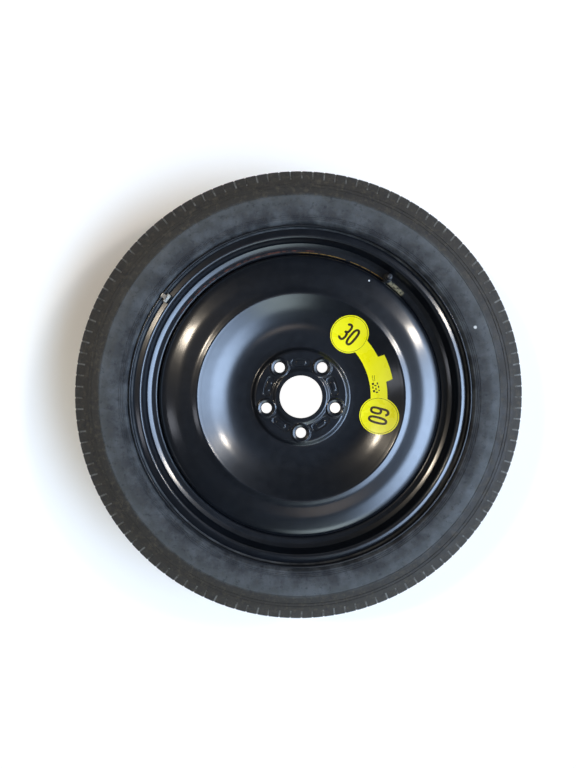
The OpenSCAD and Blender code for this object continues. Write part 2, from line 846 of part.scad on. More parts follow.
tyre();
rim();
wheel_disc();
weld_beads();
valve_body();
valve_stem();
core_housing();
core_gasket();
core_pin();
core_spring();
core_seal();
valve_cap();
cap_seal();
weight_body();
weight_clip();
load_label();
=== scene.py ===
# Temporary-use spare wheel lying on its inboard side, dressed for rendering.
# Sizes are in millimetres until a mesh is made; the wheel's axis is Z and outboard is up.
import math

import bmesh
import bpy
import numpy as np
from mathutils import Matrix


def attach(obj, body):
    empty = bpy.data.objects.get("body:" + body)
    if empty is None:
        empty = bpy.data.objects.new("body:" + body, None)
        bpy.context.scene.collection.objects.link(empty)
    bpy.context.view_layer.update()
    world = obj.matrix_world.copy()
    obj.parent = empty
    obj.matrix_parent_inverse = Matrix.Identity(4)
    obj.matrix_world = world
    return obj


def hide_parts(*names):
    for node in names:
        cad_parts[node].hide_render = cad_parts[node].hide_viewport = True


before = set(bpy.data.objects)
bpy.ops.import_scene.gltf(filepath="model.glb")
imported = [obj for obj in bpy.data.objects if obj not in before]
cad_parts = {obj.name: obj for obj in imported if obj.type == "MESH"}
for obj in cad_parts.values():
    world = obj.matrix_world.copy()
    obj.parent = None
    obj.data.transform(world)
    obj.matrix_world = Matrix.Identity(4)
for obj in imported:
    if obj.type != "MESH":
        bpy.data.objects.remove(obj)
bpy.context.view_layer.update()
millimetre = 0.001
print("frame loaded")


def unitRows(vectors):
    return vectors / np.linalg.norm(vectors, axis=-1, keepdims=True)


def leftOf(vectors):
    return np.stack([-vectors[:, 1], vectors[:, 0]], 1)


def smoothStep(value):
    held = np.clip(value, 0, 1)
    return held * held * (3 - 2 * held)


# Corners [radius, height, bend radius] joined by straights; each bend is an arc that touches
# both of its straights, cut into steps of at most stepAngle degrees.
def roundedPath(corners, stepAngle=6.0):
    corners = np.array(corners, float)
    points, bends = corners[:, :2], np.maximum(corners[1:-1, 2], 0.001)
    before, here, after = points[:-2], points[1:-1], points[2:]
    toBefore, toAfter = unitRows(before - here), unitRows(after - here)
    half = np.arccos(np.clip(np.sum(toBefore * toAfter, 1), -1, 1)) / 2
    middle = here + unitRows(toBefore + toAfter) * (bends / np.sin(half))[:, None]
    first = here + toBefore * (bends / np.tan(half))[:, None] - middle
    last = here + toAfter * (bends / np.tan(half))[:, None] - middle
    start = np.arctan2(first[:, 1], first[:, 0])
    sweep = np.arctan2(last[:, 1], last[:, 0]) - start
    sweep = (sweep + np.pi) % (2 * np.pi) - np.pi
    counts = np.ceil(np.degrees(np.abs(sweep)) / stepAngle).astype(int) + 2
    bend = np.repeat(np.arange(len(counts)), counts)
    within = np.arange(counts.sum()) - np.repeat(np.cumsum(counts) - counts, counts)
    angle = start[bend] + sweep[bend] * within / (counts[bend] - 1)
    arcs = middle[bend] + bends[bend, None] * np.stack([np.cos(angle), np.sin(angle)], 1)
    return np.concatenate([points[:1], arcs, points[-1:]])


# The same path with every straight cut into equal parts no longer than step.
def densePath(path, step):
    lengths = np.linalg.norm(np.diff(path, axis=0), axis=1)
    counts = np.maximum(1, np.ceil(lengths / step)).astype(int)
    piece = np.repeat(np.arange(len(counts)), counts)
    within = np.arange(counts.sum()) - np.repeat(np.cumsum(counts) - counts, counts)
    share = (within / counts[piece])[:, None]
    return np.concatenate([path[piece] * (1 - share) + path[piece + 1] * share, path[-1:]])


# The path moved sideways to its left, with its corners kept at full distance.
def movedPath(path, distance):
    run = unitRows(np.diff(path, axis=0))
    before, after = np.concatenate([run[:1], run]), np.concatenate([run, run[-1:]])
    side = unitRows(leftOf(before) + leftOf(after))
    return path + side * distance / np.sum(side * leftOf(after), 1, keepdims=True)


# The corner between two directions, rounded with a quarter circle of the given radius.
def roundedCorner(corner, along, across, radius, steps=4):
    turn = np.linspace(0, np.pi / 2, steps)[:, None]
    return corner + (along + across) * radius - radius * (across * np.cos(turn) + along * np.sin(turn))


# Outline of a bent sheet: the path, its copy moved across the thickness, and both cut edges rounded.
def sheetSection(path, thickness, edge):
    near, far = path, movedPath(path, thickness)
    startRun, endRun = unitRows(near[1:2] - near[:1])[0], unitRows(near[-2:-1] - near[-1:])[0]
    startAcross, endAcross = unitRows(far[:1] - near[:1])[0], unitRows(far[-1:] - near[-1:])[0]
    return np.concatenate([
        roundedCorner(near[0], startRun, startAcross, edge)[::-1],
        near[1:-1],
        roundedCorner(near[-1], endRun, endAcross, edge),
        roundedCorner(far[-1], endRun, -endAcross, edge)[::-1],
        far[-2:0:-1],
        roundedCorner(far[0], startRun, -startAcross, edge),
    ])


# A radius and a height for each row and column, carried round the wheel's axis.
def turnedGrid(radius, height, angle):
    shape = np.broadcast_shapes(np.shape(radius), np.shape(height), np.shape(angle))
    return np.stack([
        np.broadcast_to(radius * np.cos(angle), shape),
        np.broadcast_to(radius * np.sin(angle), shape),
        np.broadcast_to(height, shape),
    ], -1)


def evenAngles(count):
    return np.linspace(0, 2 * np.pi, count, endpoint=False)


# A section [radius, height] turned all the way round the wheel's axis.
def turned(section, columns):
    return turnedGrid(section[:, :1], section[:, 1:], evenAngles(columns)[None, :])


# Four-sided faces between neighbouring rows and columns of a grid.
def gridFaces(rows, columns, closeRows=True, closeColumns=True):
    row = np.arange(rows if closeRows else rows - 1)[:, None]
    column = np.arange(columns if closeColumns else columns - 1)[None, :]
    nextRow, nextColumn = (row + 1) % rows, (column + 1) % columns
    return np.stack([
        row * columns + column, row * columns + nextColumn,
        nextRow * columns + nextColumn, nextRow * columns + column,
    ], -1).reshape(-1, 4)


# A closed skin over a grid whose rows run round a section; the two end sections are filled.
def tubeFaces(rows, columns):
    skin = gridFaces(rows, columns, closeColumns=False)
    ends = [np.arange(rows)[::-1] * columns, np.arange(rows) * columns + columns - 1]
    return skin.tolist() + [end.tolist() for end in ends]


# Six times the volume inside the faces, each cut into a fan of triangles.
def facedVolume(points, faces):
    total = 0.0
    for size in {len(face) for face in faces}:
        fan = points[np.array([face for face in faces if len(face) == size])]
        for k in range(1, size - 1):
            total += np.sum(fan[:, 0] * np.cross(fan[:, k], fan[:, k + 1]))
    return total


# A closed skin as a mesh, with its faces outwards and its poles and seams closed.
def closedMesh(name, points, faces):
    points = points.reshape(-1, 3)
    faces = faces if isinstance(faces, list) else faces.tolist()
    if facedVolume(points, faces) < 0:
        faces = [face[::-1] for face in faces]
    mesh = bpy.data.meshes.new(name)
    mesh.from_pydata((points * millimetre).tolist(), [], faces)
    work = bmesh.new()
    work.from_mesh(mesh)
    bmesh.ops.remove_doubles(work, verts=work.verts, dist=1e-7)
    work.to_mesh(mesh)
    work.free()
    return mesh


def newObject(name, data):
    thing = bpy.data.objects.new(name, data)
    bpy.context.scene.collection.objects.link(thing)
    return thing


def shadeRound(mesh, sharp):
    mesh.shade_smooth()
    mesh.set_sharp_from_angle(angle=math.radians(sharp))


# A piece of the visual model; one with a CAD node takes that node's place.
def addPiece(name, node, points, material, faces=None, body="wheel", sharp=32.0):
    mesh = closedMesh(name, points, gridFaces(*points.shape[:2]) if faces is None else faces)
    mesh.materials.append(material)
    shadeRound(mesh, sharp)
    piece = newObject(name, mesh)
    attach(piece, body)
    if node:
        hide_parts(node)
    print("made", name, len(mesh.polygons), "faces")
    return piece


def linear(hexColour):
    parts = [int(hexColour[i:i + 2], 16) / 255 for i in (1, 3, 5)]
    return tuple(p / 12.92 if p <= 0.04045 else ((p + 0.055) / 1.055) ** 2.4 for p in parts) + (1.0,)


# Adds one node and gives back one of its outputs. Settings are its properties; inputs are sockets,
# hex colours or plain values, by name or place.
def addNode(tree, kind, inputs=(), output=0, **settings):
    node = tree.nodes.new("ShaderNode" + kind)
    for key, value in settings.items():
        setattr(node, key, value)
    for key, value in (inputs.items() if isinstance(inputs, dict) else enumerate(inputs)):
        if isinstance(value, bpy.types.NodeSocket):
            tree.links.new(value, node.inputs[key])
        elif value is not None:
            node.inputs[key].default_value = linear(value) if isinstance(value, str) else value
    return node.outputs[output]


def newMaterial(name, **values):
    material = bpy.data.materials.new(name)
    material.use_nodes = True
    tree = material.node_tree
    shader = tree.nodes["Principled BSDF"]
    for key, value in values.items():
        shader.inputs[key.replace("_", " ")].default_value = value
    return material, tree, shader


# Where a point lies on the wheel: its distance from the axis, its angle and its height.
def wheelPlace(tree):
    place = addNode(tree, "TexCoord", output="Object")
    x, y, height = addNode(tree, "SeparateXYZ", [place]).node.outputs
    flat = addNode(tree, "VectorMath", [place, (1, 1, 0)], operation="MULTIPLY")
    radius = addNode(tree, "VectorMath", [flat], "Value", operation="LENGTH")
    return place, radius, addNode(tree, "Math", [y, x], operation="ARCTAN2"), height


# 1 between low and high, falling to 0 over soft on both sides.
def between(tree, value, low, high, soft):
    rise, fall = (addNode(tree, "MapRange", [value, start, full], interpolation_type="SMOOTHSTEP")
                  for start, full in ((low - soft, low), (high + soft, high)))
    return addNode(tree, "Math", [rise, fall], operation="MULTIPLY")


# What a noise texture takes to show grain of a real size in mm.
def grainOf(place, size, detail=2.0, rough=0.5):
    return {"Vector": place, "Scale": 1 / (size * millimetre), "Detail": detail, "Roughness": rough}


# Patches of a real size in mm: the noise between low and high becomes weak to strong.
def patches(tree, place, size, low, high, weak, strong, detail=2.0, rough=0.5):
    cloud = addNode(tree, "TexNoise", grainOf(place, size, detail, rough))
    return addNode(tree, "MapRange", [cloud, low, high, weak, strong])


# Fine relief, each layer over the one before: size and depth in mm, the noise's detail and roughness.
def relief(tree, place, *layers):
    normal = None
    for size, depth, detail, rough in layers:
        height = addNode(tree, "TexNoise", grainOf(place, size, detail, rough))
        inputs = {"Height": height, "Strength": 1.0, "Distance": depth * millimetre, "Normal": normal}
        normal = addNode(tree, "Bump", inputs)
    return normal


# Colours laid over a base one after the other, each as strong as the product of its masks.
def overlaid(tree, base, *layers):
    for colour, cover, *masks in layers:
        for mask in masks:
            cover = addNode(tree, "Math", [cover, mask], operation="MULTIPLY")
        base = addNode(tree, "Mix", {"Factor": cover, 6: base, 7: colour}, 2, data_type="RGBA")
    return base


# A spot on the wheel, by its distance from the axis, its angle in degrees, its height, its
# radius and the width of its ragged edge.
def spot(tree, place, radius, degrees, height, size, soft):
    turn = math.radians(degrees)
    centre = tuple(c * millimetre for c in (radius * math.cos(turn), radius * math.sin(turn), height))
    away = addNode(tree, "VectorMath", [place, centre], "Value", operation="DISTANCE")
    ragged = addNode(tree, "TexNoise", grainOf(place, 3.0))
    reach = addNode(tree, "Math", [ragged, soft * millimetre, away], operation="MULTIPLY_ADD")
    return addNode(tree, "MapRange", [reach, (size + soft) * millimetre, size * millimetre])


# Joins what was worked out for a surface to its shader.
def finish(tree, shader, colour, roughness, normal):
    for key, value in (("Base Color", colour), ("Roughness", roughness), ("Normal", normal)):
        tree.links.new(value, shader.inputs[key])


slotCount = 124    # shoulder slots round the tyre
# Distances from the axis in metres: where the sidewall's grey ends, where road dust begins and is
# full, and the band of the shoulder slots. Then the slots' pale dust, which also paints the light on
# their walls, as shares of a slot's pitch.
rubberPlaces = {
    "start": 0.229, "stop": 0.331, "bloomEnd": (0.294, 0.289), "dustStart": (0.285, 0.291),
    "slots": (0.3145, 0.3255), "slotHeight": (0.045, 0.05), "slotEdge": (0.085, 0.055),
}
# Rubber's colour from the bead to the tread, darker next to the rim as painted shade: share of the way
# out, colour
rubberShadeStops = (
    (0.0, "#17181a"), (0.21, "#1b1d1f"), (0.31, "#252526"), (0.42, "#343433"),
    (0.585, "#434442"), (0.61, "#2e2a24"), (0.8, "#302b24"), (1.0, "#2f2b26"),
)


# Vulcanised rubber with carbon black, as it leaves the mould: a matt grey-black sidewall, darker next
# to the rim as painted shade, with a faint bloom, a browner worn shoulder, fine mould grain, and pale
# dust in the slots that also paints the light on their walls.
def tyreRubber():
    material, tree, shader = newMaterial("mouldedTyreRubber", IOR=1.5, Specular_IOR_Level=0.3)
    place, radius, angle, height = wheelPlace(tree)
    share = addNode(tree, "MapRange", [radius, rubberPlaces["start"], rubberPlaces["stop"]])
    # the ramp darkens the sidewall next to the rim: painted shade
    base = addNode(tree, "ValToRGB", [share])
    stops = base.node.color_ramp.elements
    while len(stops) < len(rubberShadeStops):
        stops.new(0.5)
    for stop, (position, colour) in zip(stops, rubberShadeStops):
        stop.position, stop.color = position, linear(colour)
    onSidewall = addNode(tree, "MapRange", [radius, *rubberPlaces["bloomEnd"]])
    onTread = addNode(tree, "MapRange", [radius, *rubberPlaces["dustStart"], 0.35, 1.0])
    # how far round from the middle of the nearest slot, in slot pitches
    slotTurn = addNode(tree, "Math", [angle, slotCount / (2 * math.pi)], operation="MULTIPLY")
    fromSlot = addNode(tree, "Math", [slotTurn, 0.5], operation="PINGPONG")
    inSlot = [addNode(tree, "MapRange", [fromSlot, *rubberPlaces["slotEdge"]]),
              between(tree, radius, *rubberPlaces["slots"], 0.001),
              addNode(tree, "MapRange", [height, *rubberPlaces["slotHeight"]])]
    # bloom, road dust, rubbed places, pale dust in the slots with painted light on their walls, and a
    # fleck of paint
    colour = overlaid(
        tree, base,
        ("#5a5c5c", patches(tree, place, 30.0, 0.42, 0.66, 0.0, 0.5, 5.0, 0.65), onSidewall),
        ("#5a5040", patches(tree, place, 7.0, 0.5, 0.75, 0.0, 0.55, 5.0, 0.7), onTread),
        ("#17171a", patches(tree, place, 9.0, 0.55, 0.7, 0.0, 0.6, 4.0, 0.7)),
        # pale dust in the slots, also a painted highlight where light catches the slot walls
        ("#8b8980", *inSlot, patches(tree, place, 9.0, 0.35, 0.6, 0.05, 0.5)),
        ("#c9c6bf", spot(tree, place, 271.2, 22.1, 63.5, 2.2, 1.2)),
    )
    # mould grain of about 1 mm, and the sidewall's faint waves of 22 mm
    finish(tree, shader, colour, patches(tree, place, 14.0, 0.3, 0.7, 0.52, 0.72, 3.0),
           relief(tree, place, (1.1, 0.05, 3.0, 0.7), (22.0, 0.35, 1.0, 0.5)))
    return material


# Marks in the joint of disc and rim. Radii, soft edge and grain in mm, angles in degrees with their
# soft edge in radians, the grain's low and high, the weakest and strongest cover, colour.
jointMarks = (
    (213.5, 218.5, 1.2, 45.8, 53.0, 0.02, 4.0, 0.35, 0.55, 0.1, 0.9, "#8d8468"),      # khaki streak beside the valve
    (214.0, 214.4, 0.5, 57.0, 88.0, 0.1, 5.0, 0.35, 0.55, 0.0, 0.6, "#a5803e"),       # thin gold line in the joint
    (216.4, 217.6, 0.6, 88.0, 140.0, 0.15, 6.0, 0.42, 0.6, 0.0, 0.7, "#5e3020"),      # brown rust
)
jointMarkFoot = (0.020, 0.024)    # heights in metres between which the marks begin to show


# Steel dipped in black paint by electric current and stoved: thin, hard and glossy, with a soft
# orange peel, faint waves of the pressing under it, dust, and marks in the joint of disc and rim.
def blackEcoat():
    material, tree, shader = newMaterial("blackStovedDipPaint", IOR=1.5, Specular_IOR_Level=0.22,
                                         Coat_Weight=1.0, Coat_Roughness=0.17)
    place, radius, angle, height = wheelPlace(tree)
    layers = [("#0e131a", patches(tree, place, 55.0, 0.38, 0.72, 0.0, 0.5, 4.0, 0.6)),    # cloudy film
              ("#3b3a37", patches(tree, place, 3.0, 0.6, 0.82, 0.0, 0.35, 5.0, 0.7))]     # dust
    outboard = addNode(tree, "MapRange", [height, *jointMarkFoot])
    for inner, outer, soft, start, stop, fade, grain, low, high, weak, strong, colour in jointMarks:
        ring = between(tree, radius, inner * millimetre, outer * millimetre, soft * millimetre)
        arc = between(tree, angle, math.radians(start), math.radians(stop), fade)
        patchy = patches(tree, place, grain, low, high, weak, strong, 3.0)
        layers.append((colour, ring, arc, outboard, patchy))
    layers.append(("#dcdcd8", spot(tree, place, 198.6, 59.8, 43.0, 1.2, 0.7)))            # white speck
    layers.append(("#15100d", spot(tree, place, 241.7, 8.85, 60.3, 1.8, 1.2)))            # chip
    # orange peel of 1.8 mm over waves of 26 mm
    waves = relief(tree, place, (1.8, 0.006, 1.0, 0.5), (26.0, 0.10, 1.0, 0.5))
    finish(tree, shader, overlaid(tree, "#070a0f", *layers),
           patches(tree, place, 12.0, 0.3, 0.7, 0.34, 0.46, 4.0), waves)
    tree.links.new(waves, shader.inputs["Coat Normal"])
    return material


# The same paint over a welding wire's rippled bead, rougher where spatter and soot stuck.
def coatedWeld():
    material, tree, shader = newMaterial("paintedWeldBead", IOR=1.5,
                                         Coat_Weight=0.4, Coat_Roughness=0.25)
    place = addNode(tree, "TexCoord", output="Object")
    soot = patches(tree, place, 5.0, 0.35, 0.65, 0.0, 1.0, 4.0, 0.6)
    roughness = addNode(tree, "MapRange", [soot, 0, 1, 0.35, 0.6])
    finish(tree, shader, overlaid(tree, "#15161a", ("#2d2a27", soot)), roughness,
           relief(tree, place, (0.9, 0.05, 3.0, 0.5)))
    return material


# Plain moulded or turned small parts: a base colour with cloudy change, and a fine grain.
def smallPartFinish(name, colour, cloudColour, roughness, grainSize, grainDepth, **values):
    material, tree, shader = newMaterial(name, **values)
    place = addNode(tree, "TexCoord", output="Object")
    cloud = patches(tree, place, grainSize * 6, 0.35, 0.7, 0.0, 0.8, 3.0)
    finish(tree, shader, overlaid(tree, colour, (cloudColour, cloud)),
           patches(tree, place, grainSize * 3, 0.3, 0.7, roughness - 0.06, roughness + 0.08),
           relief(tree, place, (grainSize, grainDepth, 2.0, 0.5)))
    return material


rubber = tyreRubber()
paint = blackEcoat()
weldPaint = coatedWeld()
# EPDM rubber of the snap-in valve: matt black, slightly greyed by dust
valveRubber = smallPartFinish("mouldedValveRubber", "#1a1b1c", "#3a3a38", 0.58, 0.8, 0.03)
# Nitrile rubber of the seals: even matt black
sealRubber = smallPartFinish("sealRubber", "#141414", "#1f1f1f", 0.5, 0.5, 0.02)
# Turned brass of the stem, core and pin: yellow metal with a dull film of age
stemBrass = smallPartFinish("turnedBrass", "#b5984d", "#8c7438", 0.32, 0.4, 0.01, Metallic=1.0)
# Spring steel, bare and bright
springSteel = smallPartFinish("brightSpringSteel", "#b9babb", "#8f9092", 0.3, 0.5, 0.01, Metallic=1.0)
# Polypropylene of the valve cap, moulded, satin black
capPlastic = smallPartFinish("mouldedCapPlastic", "#17181a", "#2c2d2f", 0.36, 0.6, 0.015)
# Cast zinc of the balance weight under a grey coat, dusty and scuffed
weightZinc = smallPartFinish("coatedCastZinc", "#8d887c", "#b9b4a8", 0.5, 1.2, 0.04)
# Printed vinyl film: even yellow under a thin clear layer, with a little dust
yellowFilm = smallPartFinish("yellowVinylFilm", "#f3e507", "#f7ee2c", 0.3, 6.0, 0.02)
# Screen-printing ink on the film: dark brown, satin
printInk = smallPartFinish("brownScreenInk", "#2b1d0c", "#3a2a14", 0.4, 1.0, 0.005)
print("materials made")


rim = {
    "seatRadius": 231.0, "halfWidth": 50.8, "flangeHeight": 17.5, "curlRadius": 9.5, "lip": 0.6,
    "sheet": 2.3, "heelBend": 6.5, "seatWidth": 20.0, "seatTaper": 5.0, "wellDepth": 18.5,
    "wallDraft": 8.0, "innerDraft": 24.0, "wellBend": 5.0, "humpBend": 8.0,
    "ledgeIn": 7.0, "ledgeLift": 3.2, "ledgeBend": 8.0, "humpRound": 4.5, "heelRound": 2.0,
    "heelLift": 1.7, "heelOut": 2.6, "curlDrop": 2.0, "curlRound": 3.0,
    "edgeRound": 0.7, "columns": 384, "stepAngle": 8.0, "stepLength": 12.0,
}
flangeRadius = rim["seatRadius"] + rim["flangeHeight"]
flangeTop = rim["halfWidth"] + rim["curlRadius"] + rim["lip"]
humpHeight = rim["halfWidth"] - rim["seatWidth"]
humpRadius = rim["seatRadius"] - rim["seatWidth"] * math.tan(math.radians(rim["seatTaper"]))
wellRadius = rim["seatRadius"] - rim["wellDepth"]
wellInside = wellRadius - rim["sheet"]


# Half of the rim's tyre side, from the lip of the flange to the well.
def flangeCorners(draft):
    wallHeight = humpHeight - (humpRadius - wellRadius) * math.tan(math.radians(draft))
    return np.array([
        [flangeRadius, flangeTop, 0],
        [flangeRadius, rim["halfWidth"], rim["curlRadius"]],
        [rim["seatRadius"], rim["halfWidth"], rim["heelBend"]],
        [humpRadius, humpHeight, rim["humpBend"]],
        [wellRadius, wallHeight, rim["wellBend"]],
    ])


# Outboard the well's wall rises more steeply towards the hump, so one more bend stands before it,
# and the flange leans out from the heel down to the curl.
def makeRim():
    outboard, inboard = flangeCorners(rim["wallDraft"]), flangeCorners(rim["innerDraft"])[::-1]
    ledgeHeight = humpHeight - rim["ledgeIn"] * math.tan(math.radians(rim["wallDraft"]))
    outboard[1:4, 1] += [-rim["curlDrop"], rim["heelLift"], rim["ledgeLift"]]
    outboard[2, 0] += rim["heelOut"]
    outboard[1:4, 2] = [rim["curlRound"], rim["heelRound"], rim["humpRound"]]
    ledge = [[humpRadius - rim["ledgeIn"], ledgeHeight, rim["ledgeBend"]]]
    corners = np.concatenate([outboard[:4], ledge, outboard[4:], inboard * [1, -1, 1]])
    path = densePath(roundedPath(corners, rim["stepAngle"]), rim["stepLength"])
    section = sheetSection(path, -rim["sheet"], rim["edgeRound"])
    addPiece("dressed_rim", "rim", turned(section, rim["columns"]), paint)


makeRim()


tyre = {
    "sectionHeight": 99.0, "sectionWidth": 128.0, "treadWidth": 98.0, "crownRadius": 700.0,
    "shoulderBend": 5.0, "treadThick": 13.5, "sidewall": 6.5, "beadWidth": 16.5,
    "rimCover": 5.0, "footLength": 10.0, "footDrop": 1.5, "shoulderDrop": 18.0, "shoulderIn": 5.5,
    "grooves": (-22.0, 0.0, 22.0), "grooveWidth": 6.0, "grooveDepth": 6.0,
    "bellyIn": 52.0, "bellyOut": 36.0, "bellyFall": 1.8, "stepAngle": 10.5,
    "slotWidth": 2.4, "slotDepth": 2.6, "slotEndDepth": 0.4, "overTread": 9.0,
    "longReach": 15.0, "shortReach": 10.5, "slotZone": 20.0, "cornerShare": 0.28,
    "footRibs": (3.0, 5.5, 8.0), "upperRibs": (-38.3, -26.5, -22.0), "ribWidth": 1.0, "ribHeight": 0.6,
    "beadGap": 0.1, "toeThick": (9.0, 3.0), "liningShoulder": 12.0, "edgeZone": 6.0,
    "slotFull": 4.0, "cornerNear": 2.5, "cornerFade": 5.0, "stopGap": 0.15, "slotFlanks": (1.12, 0.85),
}
treadRadius = rim["seatRadius"] + tyre["sectionHeight"]
halfSection, halfTread = tyre["sectionWidth"] / 2, tyre["treadWidth"] / 2


# Radius of the tread's crown at a height: a wide arc across the tread.
def crownAt(height):
    return treadRadius - tyre["crownRadius"] + np.sqrt(tyre["crownRadius"] ** 2 - np.square(height))


crownEdge = float(crownAt(halfTread))
coverRadius = flangeRadius + tyre["rimCover"]


# The tyre's outboard half, from the bead's toe over the sidewall to the tread's edge.
def sidewallCorners():
    half, curl, gap = rim["halfWidth"], rim["curlRadius"], tyre["beadGap"]
    beadRadius = rim["seatRadius"] + gap
    leave = (curl + gap) * math.tan(math.radians(22.5))
    toeRadius = beadRadius - tyre["beadWidth"] * math.tan(math.radians(rim["seatTaper"]))
    treadStart = halfTread - tyre["overTread"] + 0.3
    return [
        [toeRadius, half - tyre["beadWidth"], 0],
        [beadRadius + rim["heelOut"], half - gap, rim["heelBend"]],
        [flangeRadius - curl + leave, half - gap, curl + gap],
        [coverRadius, half - gap + tyre["rimCover"] + curl - leave, 2],
        [coverRadius + tyre["footLength"], halfSection - tyre["footDrop"], 12],
        [crownEdge - tyre["bellyIn"], halfSection, 30],
        [crownEdge - tyre["bellyOut"], halfSection - tyre["bellyFall"], 30],
        [crownEdge - tyre["shoulderDrop"], halfSection - tyre["shoulderIn"], 30],
        [crownEdge, halfTread, tyre["shoulderBend"]],
        [float(crownAt(treadStart)), treadStart, 0],
    ]


# Radii at which the sidewall needs a row of its own: the flanks of the ribs and the slots' ends.
def sidewallStops():
    ribs = np.array([coverRadius + out for out in tyre["footRibs"]]
                    + [crownEdge + out for out in tyre["upperRibs"]])
    flanks = np.array([-0.5, -0.3, 0.3, 0.5]) * tyre["ribWidth"]
    ends = crownEdge - np.array([tyre["longReach"], tyre["shortReach"]])
    gap = tyre["stopGap"]
    return ribs, np.concatenate([(ribs[:, None] + flanks).ravel(), ends - gap, ends + gap])


def makeTyre():
    path = roundedPath(sidewallCorners(), tyre["stepAngle"])
    start = int(np.argmax(path[:, 1] > rim["halfWidth"] + 4))
    foot, flat = path[:start], path[start:]
    ribs, stops = sidewallStops()
    # rows of the sidewall: the path's own points plus one at each stop
    edgeStart = int(np.argmax(flat[:, 0] > crownEdge - tyre["edgeZone"]))
    ramp = flat[:edgeStart + 1]
    radii = np.unique(np.concatenate([ramp[:, 0], stops[stops < ramp[-1, 0]]]).round(3))
    radii = radii[np.concatenate([[True], np.diff(radii) > 0.05])]
    heights = np.interp(radii, ramp[:, 0], ramp[:, 1])
    nearRib = np.min(np.abs(radii[:, None] - ribs), axis=1)
    heights = heights + tyre["ribHeight"] * (nearRib < 0.4 * tyre["ribWidth"])
    side = np.concatenate([foot, np.stack([radii, heights], 1), flat[edgeStart + 1:]])
    # rows over the tread, with both walls of every groove
    wall, edge = tyre["grooveWidth"] / 2, halfTread - tyre["overTread"] - 0.3
    centres = np.sort(tyre["grooves"])[::-1, None]
    walls = (centres + [wall, wall - 0.4, 0.4 - wall, -wall]).ravel()
    across = np.concatenate([[edge], walls, [-edge]])
    depths = np.concatenate([[0.0], np.tile([0.0, 1.0, 1.0, 0.0], len(centres)), [0.0]])
    tread = np.stack([crownAt(across) - depths * tyre["grooveDepth"], across], 1)
    outside = np.concatenate([side, tread, side[::-1] * [1, -1]])
    lining, crown = halfSection - tyre["sidewall"], crownEdge - tyre["treadThick"]
    inside = roundedPath([
        [*(side[0] + tyre["toeThick"]), 0],
        [coverRadius - tyre["rimCover"], rim["halfWidth"] - tyre["rimCover"], 12],
        [coverRadius + tyre["footLength"], lining - tyre["footDrop"], 12],
        [crownEdge - tyre["shoulderDrop"], lining - tyre["shoulderIn"], 14],
        [crown, halfTread - tyre["liningShoulder"], 14], [crown, 0, 0],
    ], 30.0)
    inside = np.concatenate([inside, inside[-2::-1] * [1, -1]])
    profile = np.concatenate([outside, inside[::-1]])

    # columns: both edges of a slot and both its walls
    pitch, numbers = 2 * np.pi / slotCount, np.arange(slotCount)
    wide, narrow = tyre["slotFlanks"]
    offsets = np.array([-wide, -narrow, narrow, wide]) * tyre["slotWidth"] / 2 / crownEdge
    angles = (numbers[:, None] * pitch + offsets).ravel()
    inSlot = np.tile([0.0, 1.0, 1.0, 0.0], slotCount)
    longSlot = np.repeat(numbers % 2 == 0, len(offsets))

    # depth of a slot at each row: it grows from its far end to the tread's edge, then stays
    rows = len(outside)
    radius, height = outside[:, 0], np.abs(outside[:, 1])
    onShoulder = (height > halfTread - tyre["overTread"]) & (radius > crownEdge - tyre["slotZone"])

    def slotDepth(reach):
        grown = np.clip((radius - crownEdge + reach) / (reach - tyre["slotFull"]), 0, 1)
        depth = tyre["slotEndDepth"] + (tyre["slotDepth"] - tyre["slotEndDepth"]) * grown
        # shallower over the corner of shoulder and tread
        away = np.hypot(radius - crownEdge, height - halfTread) - tyre["cornerNear"]
        share = tyre["cornerShare"] + (1 - tyre["cornerShare"]) * smoothStep(away / tyre["cornerFade"])
        return np.where(onShoulder & (radius > crownEdge - reach), depth * share, 0.0)

    reachDepth = np.where(longSlot[None, :], slotDepth(tyre["longReach"])[:, None],
                          slotDepth(tyre["shortReach"])[:, None])
    inwards = unitRows(movedPath(profile, 1.0) - profile)
    inwards = inwards * (-1 if np.sum(inwards[rows // 2]) > 0 else 1)
    depth = np.zeros((len(profile), len(angles)))
    depth[:rows] = reachDepth * inSlot[None, :]
    # the inboard side's slots stand half a pitch round, so the columns lean across the tread
    lean = smoothStep(0.5 - profile[:, 1] / (2 * (halfTread - tyre["overTread"]))) * pitch / 2
    sunk = profile[:, :, None] + inwards[:, :, None] * depth[:, None, :]
    points = turnedGrid(sunk[:, 0], sunk[:, 1], angles[None, :] + lean[:, None])
    addPiece("dressed_tyre", "tyre", points, rubber, sharp=38.0)


makeTyre()


disc = {
    "sheet": 3.8, "skirtGap": 0.04, "skirtDepth": 12.0, "shoulderHeight": 38.0, "dishWidth": 57.7,
    "crestHeight": 50.8, "floorHeight": 26.2, "hubFace": 29.0, "boreRadius": 31.7,
    "collarHeight": 2.5, "collarWidth": 8.0, "edgeRound": 0.5, "columns": 400, "hubStep": 0.75,
    "lugCircle": 54.0, "lugs": 5, "firstLug": -90.0, "lugHole": 7.75, "lipRadius": 14.5,
    "lipHeight": 2.6, "seatHeight": 2.356, "seatFoot": 31.6, "reliefHeight": 1.2, "flareTop": 11.9,
    "pocketCircle": 51.0, "pocketLength": 31.0, "pocketWidth": 13.0, "pocketDepth": 1.4,
    "markLength": 14.88, "markWidth": 5.98, "markHeight": 0.84, "padMargin": 0.5,
    "floorRun": 13.0, "flankRun": 4.5, "collarRun": 4.5, "hubZone": 7.0, "reliefRadius": 12.81,
    "cutterFoot": 28.7, "faceAngle": 6.0, "faceStep": 7.0, "backAngle": 12.0, "backStep": 14.0,
    "lipSlope": 2.2, "pocketSlope": 1.3, "markSlope": 0.9,
}
skirtRadius = wellInside - disc["skirtGap"]
crestRadius = skirtRadius - disc["dishWidth"]
padRadius = disc["lugCircle"] + disc["lipRadius"] + disc["padMargin"]
